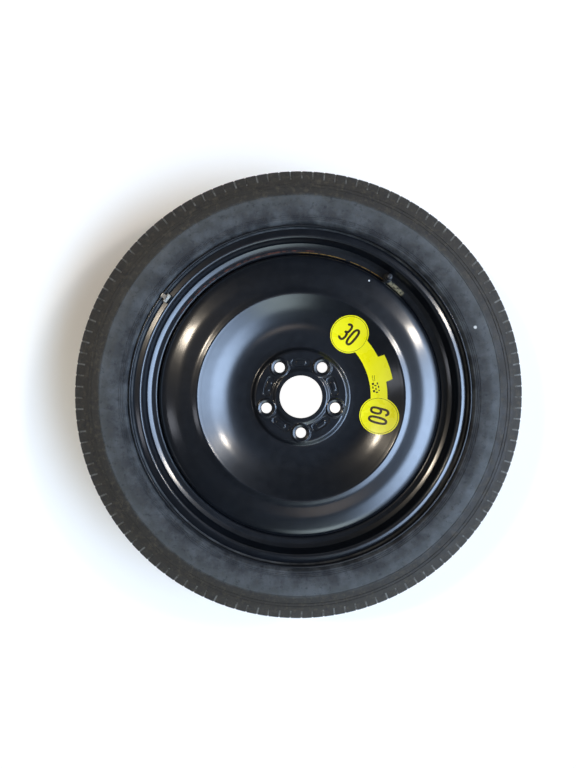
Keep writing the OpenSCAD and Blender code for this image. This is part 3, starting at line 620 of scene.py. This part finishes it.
padHeight = disc["hubFace"] + disc["sheet"]
collarRadius = disc["boreRadius"] + disc["collarWidth"] - 1.5
dishCorners = [[0, 0, 10], [11, 4.6, 40], [29, 8.8, 60]]
crestCorners = [[8.5, -2.6, 25], [0, 0, 4.5], [-6, -3.6, 20], [-22, -12.8, 110], [-46, -23.0, 78]]


def discPath(stepAngle):
    dish = [[skirtRadius - c[0], disc["shoulderHeight"] + c[1], c[2]] for c in dishCorners]
    crest = [[crestRadius + c[0], disc["crestHeight"] + c[1], c[2]] for c in crestCorners]
    return roundedPath([
        [skirtRadius, -disc["skirtDepth"], 0], *dish, *crest,
        [padRadius + disc["floorRun"], disc["floorHeight"], 40],
        [padRadius + disc["flankRun"], disc["floorHeight"], 4],
        [padRadius, padHeight, 5],
        [collarRadius + disc["collarRun"], padHeight, 3],
        [collarRadius, padHeight + disc["collarHeight"], 3.8],
        [disc["boreRadius"], padHeight + disc["collarHeight"], 0],
    ], stepAngle)


def lugAngles():
    return np.radians(disc["firstLug"] + 360 / disc["lugs"] * np.arange(disc["lugs"]))


# Distance from a point to the outline of a bean that follows the pockets' circle, negative inside.
def beanDistance(x, y, length, width):
    turn = np.arctan2(y, x) - math.radians(disc["firstLug"] + 180 / disc["lugs"])
    step = 2 * np.pi / disc["lugs"]
    along = ((turn + step / 2) % step - step / 2) * disc["pocketCircle"]
    across = np.hypot(x, y) - disc["pocketCircle"]
    return np.hypot(np.maximum(np.abs(along) - (length - width) / 2, 0), across) - width / 2


# The hub's relief: lips round the lug holes, then the pressed pockets and their raised ovals.
def hubHeight(x, y, height):
    lugX, lugY = disc["lugCircle"] * np.cos(lugAngles()), disc["lugCircle"] * np.sin(lugAngles())
    away = np.min(np.hypot(x[..., None] - lugX, y[..., None] - lugY), axis=-1)
    lip = smoothStep((disc["lipRadius"] + 0.7 - away) / disc["lipSlope"])
    height = height * (1 - lip) + (padHeight + disc["lipHeight"]) * lip
    pocket = beanDistance(x, y, disc["pocketLength"], disc["pocketWidth"])
    mark = beanDistance(x, y, disc["markLength"], disc["markWidth"])
    height = height - disc["pocketDepth"] * smoothStep(-pocket / disc["pocketSlope"])
    return height + disc["markHeight"] * smoothStep(-mark / disc["markSlope"] + 0.2)


# A turned cutter for one lug hole: relief at the back, the hole, its conical seat and the flare.
def lugCutter(turn):
    hole, flare, foot = disc["lugHole"], disc["flareTop"], disc["seatFoot"]
    seatTop = foot + disc["seatHeight"]
    seatRadius = hole + disc["seatHeight"] * math.tan(math.radians(30))
    lipTop = padHeight + disc["lipHeight"]
    relief = disc["hubFace"] + disc["reliefHeight"]
    profile = np.array([
        [0, disc["cutterFoot"]], [disc["reliefRadius"], disc["cutterFoot"]], [hole + 1, relief],
        [hole, relief], [hole, foot], [seatRadius, seatTop], [flare - 0.5, lipTop - 0.3],
        [flare, lipTop - 0.05], [flare + 0.9, lipTop + 0.3], [0, lipTop + 0.3],
    ])
    middle = [disc["lugCircle"] * math.cos(turn), disc["lugCircle"] * math.sin(turn), 0]
    points = turned(profile, 72) + middle
    return points, gridFaces(*points.shape[:2], closeRows=False)


def cutAway(piece, cutters):
    for points, faces in cutters:
        tool = newObject("cutter", closedMesh("cutter", points, faces))
        cut = piece.modifiers.new("cut", "BOOLEAN")
        cut.operation, cut.solver, cut.object = "DIFFERENCE", "MANIFOLD", tool
        evaluated = piece.evaluated_get(bpy.context.evaluated_depsgraph_get())
        result = bpy.data.meshes.new_from_object(evaluated)
        piece.modifiers.clear()
        piece.data = result
        bpy.data.objects.remove(tool)
    shadeRound(piece.data, 28)


def makeDisc():
    path = discPath(disc["faceAngle"])
    hubEdge = int(np.argmax(path[:, 0] < padRadius + disc["hubZone"]))
    hub = densePath(path[hubEdge:], disc["hubStep"])
    near = np.concatenate([densePath(path[:hubEdge + 1], disc["faceStep"])[:-1], hub])
    back = densePath(movedPath(discPath(disc["backAngle"]), disc["sheet"]), disc["backStep"])
    edge = disc["edgeRound"]
    front = np.concatenate([
        [[skirtRadius, near[0, 1] + edge]], near[1:-1],
        roundedCorner(near[-1], np.array([1.0, 0]), np.array([0, -1.0]), edge),
    ])
    section = np.concatenate([front, back[::-1]])
    angle = evenAngles(disc["columns"])[None, :]
    radius = np.broadcast_to(section[:, :1], (len(section), disc["columns"]))
    height = np.array(np.broadcast_to(section[:, 1:], radius.shape))
    # the hub's rows, without the rounded edge of the bore
    onHub = slice(len(front) - len(hub) - 2, len(front) - 4)
    x, y = radius[onHub] * np.cos(angle), radius[onHub] * np.sin(angle)
    height[onHub] = hubHeight(x, y, height[onHub])
    points = turnedGrid(radius, height, angle)
    piece = addPiece("dressed_wheel_disc", "wheel_disc", points, paint)
    cutAway(piece, [lugCutter(turn) for turn in lugAngles()])
    print("cut the lug holes", len(piece.data.polygons), "faces")


makeDisc()


weld = {
    "count": 8, "degrees": 18.0, "leg": 4.0, "ripple": 1.7, "rippleDepth": 0.12, "taper": 5.0,
    "lag": 0.9, "endShare": 0.25, "fill": 0.93, "swell": 0.03, "swellPitch": 7.0, "columns": 240,
}


# A quarter-round bead in the corner of skirt and rim; its leg swells and sinks with each ripple,
# which lags towards the bead's sides, and tapers at both ends.
def weldBead(number):
    corner = [wellInside, -disc["skirtDepth"]]
    length = math.radians(weld["degrees"]) * wellInside
    along = np.linspace(-length / 2, length / 2, weld["columns"])[None, :]
    around = np.linspace(0, np.pi / 2, 9)[:, None]
    lag = weld["lag"] * np.square((around - np.pi / 4) / (np.pi / 4))
    ripple = np.cos(2 * np.pi * (along + lag) / weld["ripple"])
    ends = np.sqrt(np.clip((length / 2 - np.abs(along)) / weld["taper"], 0, 1))
    ends = weld["endShare"] + (1 - weld["endShare"]) * ends
    leg = weld["leg"] * ends * (weld["fill"] + weld["swell"] * np.sin(along / weld["swellPitch"]))
    leg = leg + weld["rippleDepth"] * ripple * np.sin(2 * around)
    radius = np.vstack([corner[0] - leg * np.cos(around), np.full_like(along, corner[0])])
    height = np.vstack([corner[1] - leg * np.sin(around), np.full_like(along, corner[1])])
    return turnedGrid(radius, height, 2 * np.pi * number / weld["count"] + along / wellInside)


def makeWelds():
    grids = [weldBead(number) for number in range(weld["count"])]
    rows, columns = grids[0].shape[:2]
    starts = np.arange(weld["count"]) * rows * columns
    faces = [[int(start) + k for k in face] for start in starts for face in tubeFaces(rows, columns)]
    points = np.concatenate([grid.reshape(-1, 3) for grid in grids])
    addPiece("dressed_weld_beads", "weld_beads", points, weldPaint, faces, sharp=60.0)


makeWelds()


valve = {
    "degrees": 53.9, "up": 6.0, "holeRadius": 5.65, "baseRadius": 8.0, "baseHeight": 4.0,
    "lipRadius": 7.0, "lipHeight": 3.5, "neckRadius": 5.25, "neckHeight": 6.0, "stemRadius": 3.85,
    "stemClear": 9.0, "boreRadius": 2.6, "boreLength": 7.0, "lowerBore": 2.1,
    "threadPitch": 0.8, "threadDepth": 0.4, "capRadius": 4.9, "capLength": 11.0, "capRibs": 12,
    "capGap": 0.2, "capRoof": 1.3, "ribHeight": 0.38,
}
valveRadius = wellRadius + valve["up"]
valvePlace = np.array([valveRadius * math.cos(math.radians(valve["degrees"])),
                       valveRadius * math.sin(math.radians(valve["degrees"])), 0.0])
draftTan = math.tan(math.radians(rim["wallDraft"]))
wallFoot = humpHeight - (humpRadius - wellRadius) * draftTan + valve["up"] * draftTan
wallTop = wallFoot + rim["sheet"] / math.cos(math.radians(rim["wallDraft"]))
neckTop = wallTop + valve["lipHeight"] + valve["neckHeight"]
stemTop = neckTop + valve["stemClear"]
stemFoot = wallFoot - valve["baseHeight"] + 1.2
coreSeat = stemTop - valve["boreLength"]


def makeValveBody():
    stem, hole, base = valve["stemRadius"] + 0.1, valve["holeRadius"] - 0.05, valve["baseRadius"]
    neck, foot = valve["neckRadius"], stemFoot - 1.2
    outer = roundedPath([
        [4.6, foot, 0], [base, foot, 1.2], [base, wallFoot - 0.6, 0.8], [hole, wallFoot - 0.1, 0.2],
        [hole, wallTop + 0.05, 0.2], [valve["lipRadius"], wallTop + 1.2, 0.7],
        [neck + 0.9, wallTop + valve["lipHeight"], 1.0], [neck, neckTop - 0.5, 0.6],
        [neck - 1, neckTop, 0.3], [stem, neckTop, 0],
    ], 15.0)
    section = densePath(np.concatenate([outer, [[stem, stemFoot]], outer[:1]]), 2.0)[:-1]
    points = turned(section, 72) + valvePlace
    addPiece("dressed_valve_body", "valve_body", points, valveRubber)


# The stem's screw thread: the radius sinks and rises once for every pitch along the axis, and
# the wave climbs by one pitch in one turn.
def makeStem():
    stem, bore, lower = valve["stemRadius"], valve["boreRadius"], valve["lowerBore"]
    outer = np.array([
        [lower, stemFoot], [stem + 0.6, stemFoot], [stem + 0.6, stemFoot + 1.5],
        [stem - 0.6, stemFoot + 3], [stem - 0.6, neckTop - 3], [stem, neckTop - 1.5],
        [stem, stemTop - 0.6], [stem - 0.5, stemTop],
    ])
    inner = np.array([[bore, stemTop], [bore, coreSeat], [lower, coreSeat - 0.8], [lower, stemFoot]])
    section = np.concatenate([densePath(outer, 0.13), inner])[:-1]
    angle, height = evenAngles(64)[None, :], section[:, 1:]
    onThread = smoothStep((height - neckTop - 0.2) / 0.8) * smoothStep((stemTop - 0.5 - height) / 0.6)
    onThread = onThread * (section[:, :1] > stem - 0.1)
    wave = (height / valve["threadPitch"] - angle / (2 * np.pi)) % 1
    cut = valve["threadDepth"] * np.abs(2 * wave - 1) * onThread
    points = turnedGrid(section[:, :1] - cut, height, angle) + valvePlace
    addPiece("dressed_valve_stem", "valve_stem", points, stemBrass, sharp=50.0)


# The cap's grip ribs: the wall swells by a rounded tooth, repeated round the cap.
def makeCap():
    foot, wide = neckTop + valve["capGap"], valve["capRadius"]
    top, roof = foot + valve["capLength"], foot + valve["capLength"] - valve["capRoof"]
    wall, hollow = wide - 0.4, valve["stemRadius"] + valve["capGap"]
    outer = roundedPath([
        [hollow + 0.02, foot, 0], [wall, foot, 0.25], [wall, top - 2, 1.0],
        [wide - 1.2, top - 0.6, 0.8], [wide - 2.4, top, 0.8], [0, top, 0],
    ], 12.0)
    inner = np.array([[0, roof], [hollow, roof], [hollow, foot + 0.2]])
    section = np.concatenate([densePath(outer, 0.6), densePath(inner, 1.5)])
    angle, height = evenAngles(valve["capRibs"] * 8)[None, :], section[:, 1:]
    onWall = smoothStep((height - foot - 0.4) / 0.7) * smoothStep((top - 2.4 - height) / 0.8)
    onWall = onWall * (section[:, :1] > wall - 0.05)
    tooth = np.maximum(np.cos(angle * valve["capRibs"]), 0) ** 0.7
    radius = section[:, :1] + valve["ribHeight"] * tooth * onWall
    points = turnedGrid(radius, height, angle) + valvePlace
    addPiece("dressed_valve_cap", "valve_cap", points, capPlastic, body="cap")


makeValveBody()
makeStem()
makeCap()

carriedOver = {
    "core_housing": stemBrass, "core_gasket": sealRubber, "core_pin": stemBrass,
    "core_spring": springSteel, "core_seal": sealRubber, "cap_seal": sealRubber,
}
for nodeName, material in carriedOver.items():
    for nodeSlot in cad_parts[nodeName].material_slots:
        nodeSlot.material = material
print("valve dressed")


weight = {
    "degrees": 143.6, "length": 13.5, "height": 8.5, "clipWidth": 6.0, "clipThick": 0.8,
    "hook": 2.4, "stick": 0.05, "endRound": 1.4, "bedDrop": 8.2,
}


# A section [radius, height] carried along the flange, drawn in towards its middle at both ends.
def alongFlange(section, length, endRound, columns=25):
    spread = np.sin(np.linspace(-np.pi / 2, np.pi / 2, columns))
    along = spread * length / 2
    held = np.clip((length / 2 - np.abs(along)) / endRound, 0, 1)
    scale = 1 - 0.32 * (1 - np.sqrt(1 - np.square(1 - held)))
    middle = section.mean(axis=0)
    radius = middle[0] + (section[:, :1] - middle[0]) * scale[None, :]
    height = middle[1] + (section[:, 1:] - middle[1]) * scale[None, :]
    angle = math.radians(weight["degrees"]) + along / flangeRadius
    return turnedGrid(radius, height, angle[None, :])


def makeWeight():
    hollow = rim["curlRound"] - rim["sheet"] - weight["stick"]
    centre = np.array([flangeRadius - rim["curlRound"], flangeTop - weight["bedDrop"]])
    turn = np.radians(np.arange(0, -81, -8.0))[:, None]
    bed = centre + hollow * np.concatenate([np.cos(turn), np.sin(turn)], 1)
    front = flangeRadius - rim["sheet"] - weight["height"]
    face = np.array([[1, -5.6], [0.2, -4.8], [0, -4.0], [0, -1.6], [0.4, -0.6], [1.4, -0.05], [4, 0]])
    section = densePath(np.concatenate([bed, face + [front, flangeTop]]), 1.2)
    points = alongFlange(section, weight["length"], weight["endRound"])
    addPiece("dressed_weight_body", "weight_body", points, weightZinc,
             tubeFaces(*points.shape[:2]), sharp=50.0)


def makeClip():
    side, top = flangeRadius + weight["stick"], flangeTop + weight["stick"]
    front, foot = flangeRadius - rim["sheet"] - weight["height"] + 2, flangeTop - weight["hook"]
    path = roundedPath([[front, top, 0], [side, top, 0.3], [side, foot, 0]], 15.0)
    section = sheetSection(densePath(path, 1.5), weight["clipThick"], 0.25)
    points = alongFlange(section, weight["clipWidth"], 0.01, 13)
    addPiece("dressed_weight_clip", "weight_clip", points, springSteel,
             tubeFaces(*points.shape[:2]), sharp=40.0)


makeWeight()
makeClip()


label = {
    "upperIn": 34.9, "lowerIn": 32.4, "bandIn": 35.2, "roundRadius": 27.9, "upperDegrees": 52.2,
    "lowerDegrees": -13.8, "bandHalf": 11.75, "tabDegrees": 18.9, "tabHalf": 17.0, "tabOut": 9.0,
    "thick": 0.25, "stick": 0.05, "inkThick": 0.03, "marksDegrees": 6.5,
    # plain printed blocks and bars: across, up, length and width
    "marks": (
        (-6.6, -7.2, 3.2, 3.2), (-1.2, -7.8, 3.2, 1.8), (4.4, -6.8, 3.2, 3.2), (-3.8, -4.0, 1.8, 3.2),
        (1.4, -3.6, 3.2, 1.8), (6.6, -2.8, 1.8, 3.2), (-6.6, -0.8, 3.2, 1.8), (-1.4, 0.4, 3.2, 1.8),
        (4.0, 0.6, 1.8, 1.8), (-15.0, -6.6, 9.0, 0.6), (-15.0, -4.0, 9.0, 0.6),
    ),
}
bowl = discPath(3.0)
bowl = bowl[(bowl[:, 0] < crestRadius + 2) & (bowl[:, 0] > padRadius + 5)]
bowlSides = movedPath(bowl, -1.0) - bowl


# Lifts flat places onto the bowl: each takes the height of the disc's face and stands proud of it.
def onBowl(x, y, proud):
    radius, turn = np.hypot(x, y), np.arctan2(y, x)
    order = np.argsort(bowl[:, 0])
    height = np.interp(radius, bowl[order, 0], bowl[order, 1])
    sideR = np.interp(radius, bowl[order, 0], bowlSides[order, 0])
    sideZ = np.interp(radius, bowl[order, 0], bowlSides[order, 1])
    outRadius = radius + sideR * proud
    return np.stack([outRadius * np.cos(turn), outRadius * np.sin(turn), height + sideZ * proud], -1)


# Radial reach of a round end at each angle, as distances from the wheel's axis; nan where it misses.
def roundReach(angle, middle, radius):
    turn = angle - middle
    inside = label["roundRadius"] ** 2 - np.square(radius * np.sin(turn))
    half = np.sqrt(np.where(inside >= 0, inside, np.nan))
    return radius * np.cos(turn) - half, radius * np.cos(turn) + half


def makeLabel():
    upper, lower = crestRadius - label["upperIn"], crestRadius - label["lowerIn"]
    band = crestRadius - label["bandIn"]
    upperTurn, lowerTurn = math.radians(label["upperDegrees"]), math.radians(label["lowerDegrees"])
    high = upperTurn + math.asin(label["roundRadius"] / upper) * 0.9999
    low = lowerTurn - math.asin(label["roundRadius"] / lower) * 0.9999
    spread = np.sin(np.linspace(-np.pi / 2, np.pi / 2, 260))
    angle = (low + high) / 2 + (high - low) / 2 * spread
    inUpper, outUpper = roundReach(angle, upperTurn, upper)
    inLower, outLower = roundReach(angle, lowerTurn, lower)
    onBand = np.where((angle > lowerTurn) & (angle < upperTurn), band, np.nan)
    fromTab = np.abs(angle - math.radians(label["tabDegrees"])) * band
    tab = smoothStep((label["tabHalf"] + 0.6 - fromTab) / 1.2) * label["tabOut"]
    reachIn = np.nanmin(np.stack([inUpper, inLower, onBand - label["bandHalf"]]), axis=0)
    reachOut = np.nanmax(np.stack([outUpper, outLower, onBand + label["bandHalf"] + tab]), axis=0)
    radius = reachIn + (reachOut - reachIn) * np.linspace(0, 1, 34)[:, None]
    x, y = radius * np.cos(angle), radius * np.sin(angle)
    top, under = onBowl(x, y, label["stick"] + label["thick"]), onBowl(x, y, label["stick"])
    points = np.concatenate([top, under[::-1]])
    addPiece("dressed_label", "load_label", points, yellowFilm,
             tubeFaces(*points.shape[:2]), sharp=60.0)


# A printed stroke: a centre line widened to both sides and laid on the film. Places are
# [across, up] on a round end, whose up points away from the wheel's axis when tilt is 0.
def strokeGrid(line, width, place, closed):
    degrees, radius, tilt = place
    run = np.roll(line, -1, 0) - np.roll(line, 1, 0) if closed else np.gradient(line, axis=0)
    side = leftOf(unitRows(run)) * width / 2
    flat = np.stack([line - side, line - side / 3, line + side / 3, line + side])
    turn, lean = math.radians(degrees), math.radians(degrees - 90 + tilt)
    x = radius * math.cos(turn) + flat[..., 0] * math.cos(lean) - flat[..., 1] * math.sin(lean)
    y = radius * math.sin(turn) + flat[..., 0] * math.sin(lean) + flat[..., 1] * math.cos(lean)
    base = label["stick"] + label["thick"]
    return np.concatenate([onBowl(x, y, base + label["inkThick"]), onBowl(x, y, base + 0.005)[::-1]])


# A flattened ring whose sides bulge like a plain numeral's bowl.
def numeralRing(centre, halfWidth, halfHeight, count=48, squareness=2.6):
    turn = evenAngles(count)
    x = np.sign(np.cos(turn)) * np.abs(np.cos(turn)) ** (2 / squareness) * halfWidth
    y = np.sign(np.sin(turn)) * np.abs(np.sin(turn)) ** (2 / squareness) * halfHeight
    return np.stack([centre[0] + x, centre[1] + y], 1)


numeral = {"halfWidth": 4.1, "halfHeight": 12.2, "stroke": 3.5, "pitch": 13.6, "ringRadius": 26.1}


# The numerals 0, 3 and 6 as centre lines about the middle of the digit, each with whether it
# closes. A 3 is two rings, both open to the left; a ring starts at its right, anticlockwise.
def numeralLines(digit, centre):
    w, h = numeral["halfWidth"], numeral["halfHeight"]
    if digit == "0":
        return [(numeralRing(centre, w, h), True)]
    if digit == "3":
        upper = numeralRing(centre + [0, h * 0.51], w * 0.93, h * 0.49)
        lower = numeralRing(centre - [0, h * 0.49], w, h * 0.51)
        return [(np.concatenate([upper[34:], upper[:21]]), False),
                (np.concatenate([lower[28:], lower[:14]]), False)]
    turn = np.linspace(0.35, np.pi, 16)
    hook = np.stack([w * np.cos(turn), h * 0.58 + h * 0.42 * np.sin(turn)], 1)
    back = np.array([[-w, h * 0.6], [-w, h * 0.2], [-w, -h * 0.4]])
    return [(numeralRing(centre - [0, h * 0.42], w, h * 0.58), True),
            (centre + hook, False), (centre + back, False)]


def makePrint():
    upper = (label["upperDegrees"], crestRadius - label["upperIn"], 0.0)
    lower = (label["lowerDegrees"], crestRadius - label["lowerIn"], 0.0)
    strokes = []
    for digits, place in (("30", upper), ("60", lower)):
        for number, digit in enumerate(digits):
            centre = np.array([(number - 0.5) * numeral["pitch"], 0.0])
            lines = numeralLines(digit, centre)
            strokes += [(line, numeral["stroke"], place, closed) for line, closed in lines]
        ring = numeralRing(np.zeros(2), numeral["ringRadius"], numeral["ringRadius"], 120, 2.0)
        strokes.append((ring, 0.55, place, True))
    band = (label["marksDegrees"], crestRadius - label["bandIn"], 0.0)
    for across, up, length, width in label["marks"]:
        run = np.linspace(across - length / 2, across + length / 2, 3)
        strokes.append((np.stack([run, np.full(3, up)], 1), width, band, False))
    points, faces, start = [], [], 0
    for line, width, place, closed in strokes:
        grid = strokeGrid(line, width, place, closed)
        rows, columns = grid.shape[:2]
        skin = gridFaces(rows, columns).tolist() if closed else tubeFaces(rows, columns)
        if facedVolume(grid.reshape(-1, 3), skin) < 0:
            skin = [face[::-1] for face in skin]
        faces += [[k + start for k in face] for face in skin]
        points.append(grid.reshape(-1, 3))
        start += rows * columns
    addPiece("label_print", None, np.concatenate(points), printInk, faces, sharp=60.0)


makeLabel()
makePrint()
print("label printed")


studio = {
    "cameraPlace": (-0.0497, 0.0447, 0.8904), "cameraTilt": (-1.71, -2.03), "lens": 27.0,
    "sensor": 36.0, "floorSize": 12.0, "floorColour": "#f4ecdf", "floorGlow": 0.12,
    "holeGlow": (0.085, 0.105), "windowCore": 0.1, "skyBand": (0.03, 0.42),
    "backdrop": "#ffffff", "ceiling": "#484c51", "horizon": "#d9dfe5",
}
# Soft windows in the world: tilt from straight up and angle round in degrees, half width, half
# height, strength, colour
windows = (
    (44, -16, 0.72, 0.36, 19.0, "#b6d0f4"),
    (58, -74, 0.36, 0.28, 6.0, "#cfe2e6"),
    (22, -68, 0.17, 0.12, 3.2, "#d6c4b2"),
)
# Lamps: distance, tilt from straight up, angle round, width, height (m and degrees), watts, colour
lamps = {
    "warmLampA": (2.4, 36, 153, 0.2, 0.2, 13.0, "#fff0da"),
    "warmLampB": (2.4, 43, 23, 0.18, 0.18, 11.0, "#fff2e0"),
    "faintLamp": (2.4, 42, 196, 0.3, 0.3, 1.2, "#eef2ff"),
}


def makeCamera():
    data = bpy.data.cameras.new("photoCamera")
    data.lens, data.sensor_width, data.sensor_fit = studio["lens"], studio["sensor"], "AUTO"
    data.clip_start, data.clip_end = 0.01, 50
    camera = newObject("photoCamera", data)
    camera.location = studio["cameraPlace"]
    camera.rotation_euler = (*np.radians(studio["cameraTilt"]), 0)
    bpy.context.scene.camera = camera


# A floor that glows a little for the camera and for reflections, so that it shows white; below the
# hub it glows more, painted light over the wheel's shadow so that the holes show as white as the rest,
# and a camera under it looks through it.
def makeFloor():
    material, tree, shader = newMaterial("paleFloor", Roughness=0.9, Specular_IOR_Level=0.2)
    shader.inputs["Base Color"].default_value = linear(studio["floorColour"])
    shader.inputs["Emission Color"].default_value = (1, 1, 1, 1)
    rays = addNode(tree, "LightPath").node.outputs
    seen = rays["Is Camera Ray"]
    for other in ("Is Glossy Ray", "Is Transmission Ray"):
        seen = addNode(tree, "Math", [seen, rays[other]], operation="MAXIMUM")
    # under the hub the glow rises to full: painted light over the wheel's shadow
    fromAxis = wheelPlace(tree)[1]
    level = addNode(tree, "MapRange", [fromAxis, *studio["holeGlow"], 1.0, studio["floorGlow"]])
    glow = addNode(tree, "Math", [seen, level], operation="MULTIPLY")
    tree.links.new(glow, shader.inputs["Emission Strength"])
    underside = addNode(tree, "NewGeometry", output="Backfacing")
    below = addNode(tree, "Math", [rays["Is Camera Ray"], underside], operation="MULTIPLY")
    surface = addNode(tree, "MixShader", [below, shader.outputs[0], addNode(tree, "BsdfTransparent")])
    tree.links.new(surface, tree.nodes["Material Output"].inputs["Surface"])
    half, base = studio["floorSize"] / 2, -halfSection * millimetre
    corners = [(-half, -half, base), (half, -half, base), (half, half, base), (-half, half, base)]
    mesh = bpy.data.meshes.new("floor")
    mesh.from_pydata(corners, [], [(0, 1, 2, 3)])
    mesh.materials.append(material)
    newObject("floor", mesh)


# The direction that leans from straight up by tilt and points round by turn.
def leaning(tilt, turn):
    return math.sin(tilt) * math.cos(turn), math.sin(tilt) * math.sin(turn), math.cos(tilt)


# Light of one soft window: full at its middle, falling smoothly to nothing at its edge.
def softWindow(tree, tilt, turn, halfWidth, halfHeight, strength, colour):
    direction = addNode(tree, "TexCoord", output="Generated")
    tilt, turn = math.radians(tilt), math.radians(turn)
    across = (-math.sin(turn) / halfWidth, math.cos(turn) / halfWidth, 0)
    along = tuple(c / halfHeight for c in leaning(tilt - math.pi / 2, turn))
    parts = [addNode(tree, "VectorMath", [direction, axis], "Value", operation="DOT_PRODUCT")
             for axis in (across, along, leaning(tilt, turn))]
    fromMiddle = addNode(tree, "CombineXYZ", parts[:2])
    away = addNode(tree, "VectorMath", [fromMiddle], "Value", operation="LENGTH")
    soft = addNode(tree, "MapRange", [away, 1.0, studio["windowCore"]], interpolation_type="SMOOTHSTEP")
    ahead = addNode(tree, "Math", [parts[2], 0.0], operation="GREATER_THAN")
    light = addNode(tree, "Math", [soft, ahead], operation="MULTIPLY")
    shine = tuple(c * strength for c in linear(colour)[:3])
    return addNode(tree, "VectorMath", {0: shine, "Scale": light}, operation="SCALE")


# The windows and a grey sky light the wheel; the camera sees a plain backdrop.
def makeWorld():
    world = bpy.data.worlds.new("studioWorld")
    world.use_nodes = True
    bpy.context.scene.world = world
    tree = world.node_tree
    upwards = addNode(tree, "SeparateXYZ", [addNode(tree, "TexCoord", output="Generated")], "Z")
    light = addNode(tree, "ValToRGB", [upwards])
    stops = light.node.color_ramp.elements
    for stop, position, name in zip(stops, studio["skyBand"], ("horizon", "ceiling")):
        stop.position, stop.color = position, linear(studio[name])
    for window in windows:
        light = addNode(tree, "VectorMath", [light, softWindow(tree, *window)], operation="ADD")
    seen = addNode(tree, "LightPath", output="Is Camera Ray")
    light = overlaid(tree, light, (studio["backdrop"], seen))
    tree.links.new(light, tree.nodes["Background"].inputs["Color"])


def makeLamps():
    for name, (distance, tilt, turn, width, height, power, colour) in lamps.items():
        data = bpy.data.lights.new(name, "AREA")
        data.shape, data.size, data.size_y, data.energy = "RECTANGLE", width, height, power
        data.color = linear(colour)[:3]
        lamp = newObject(name, data)
        tilt, turn = math.radians(tilt), math.radians(turn)
        lamp.location = [distance * c for c in leaning(tilt, turn)]
        lamp.rotation_euler = (tilt, 0, turn + math.pi / 2)


makeCamera()
makeFloor()
makeWorld()
makeLamps()
bpy.context.scene.view_settings.view_transform = "Standard"
print("studio set")
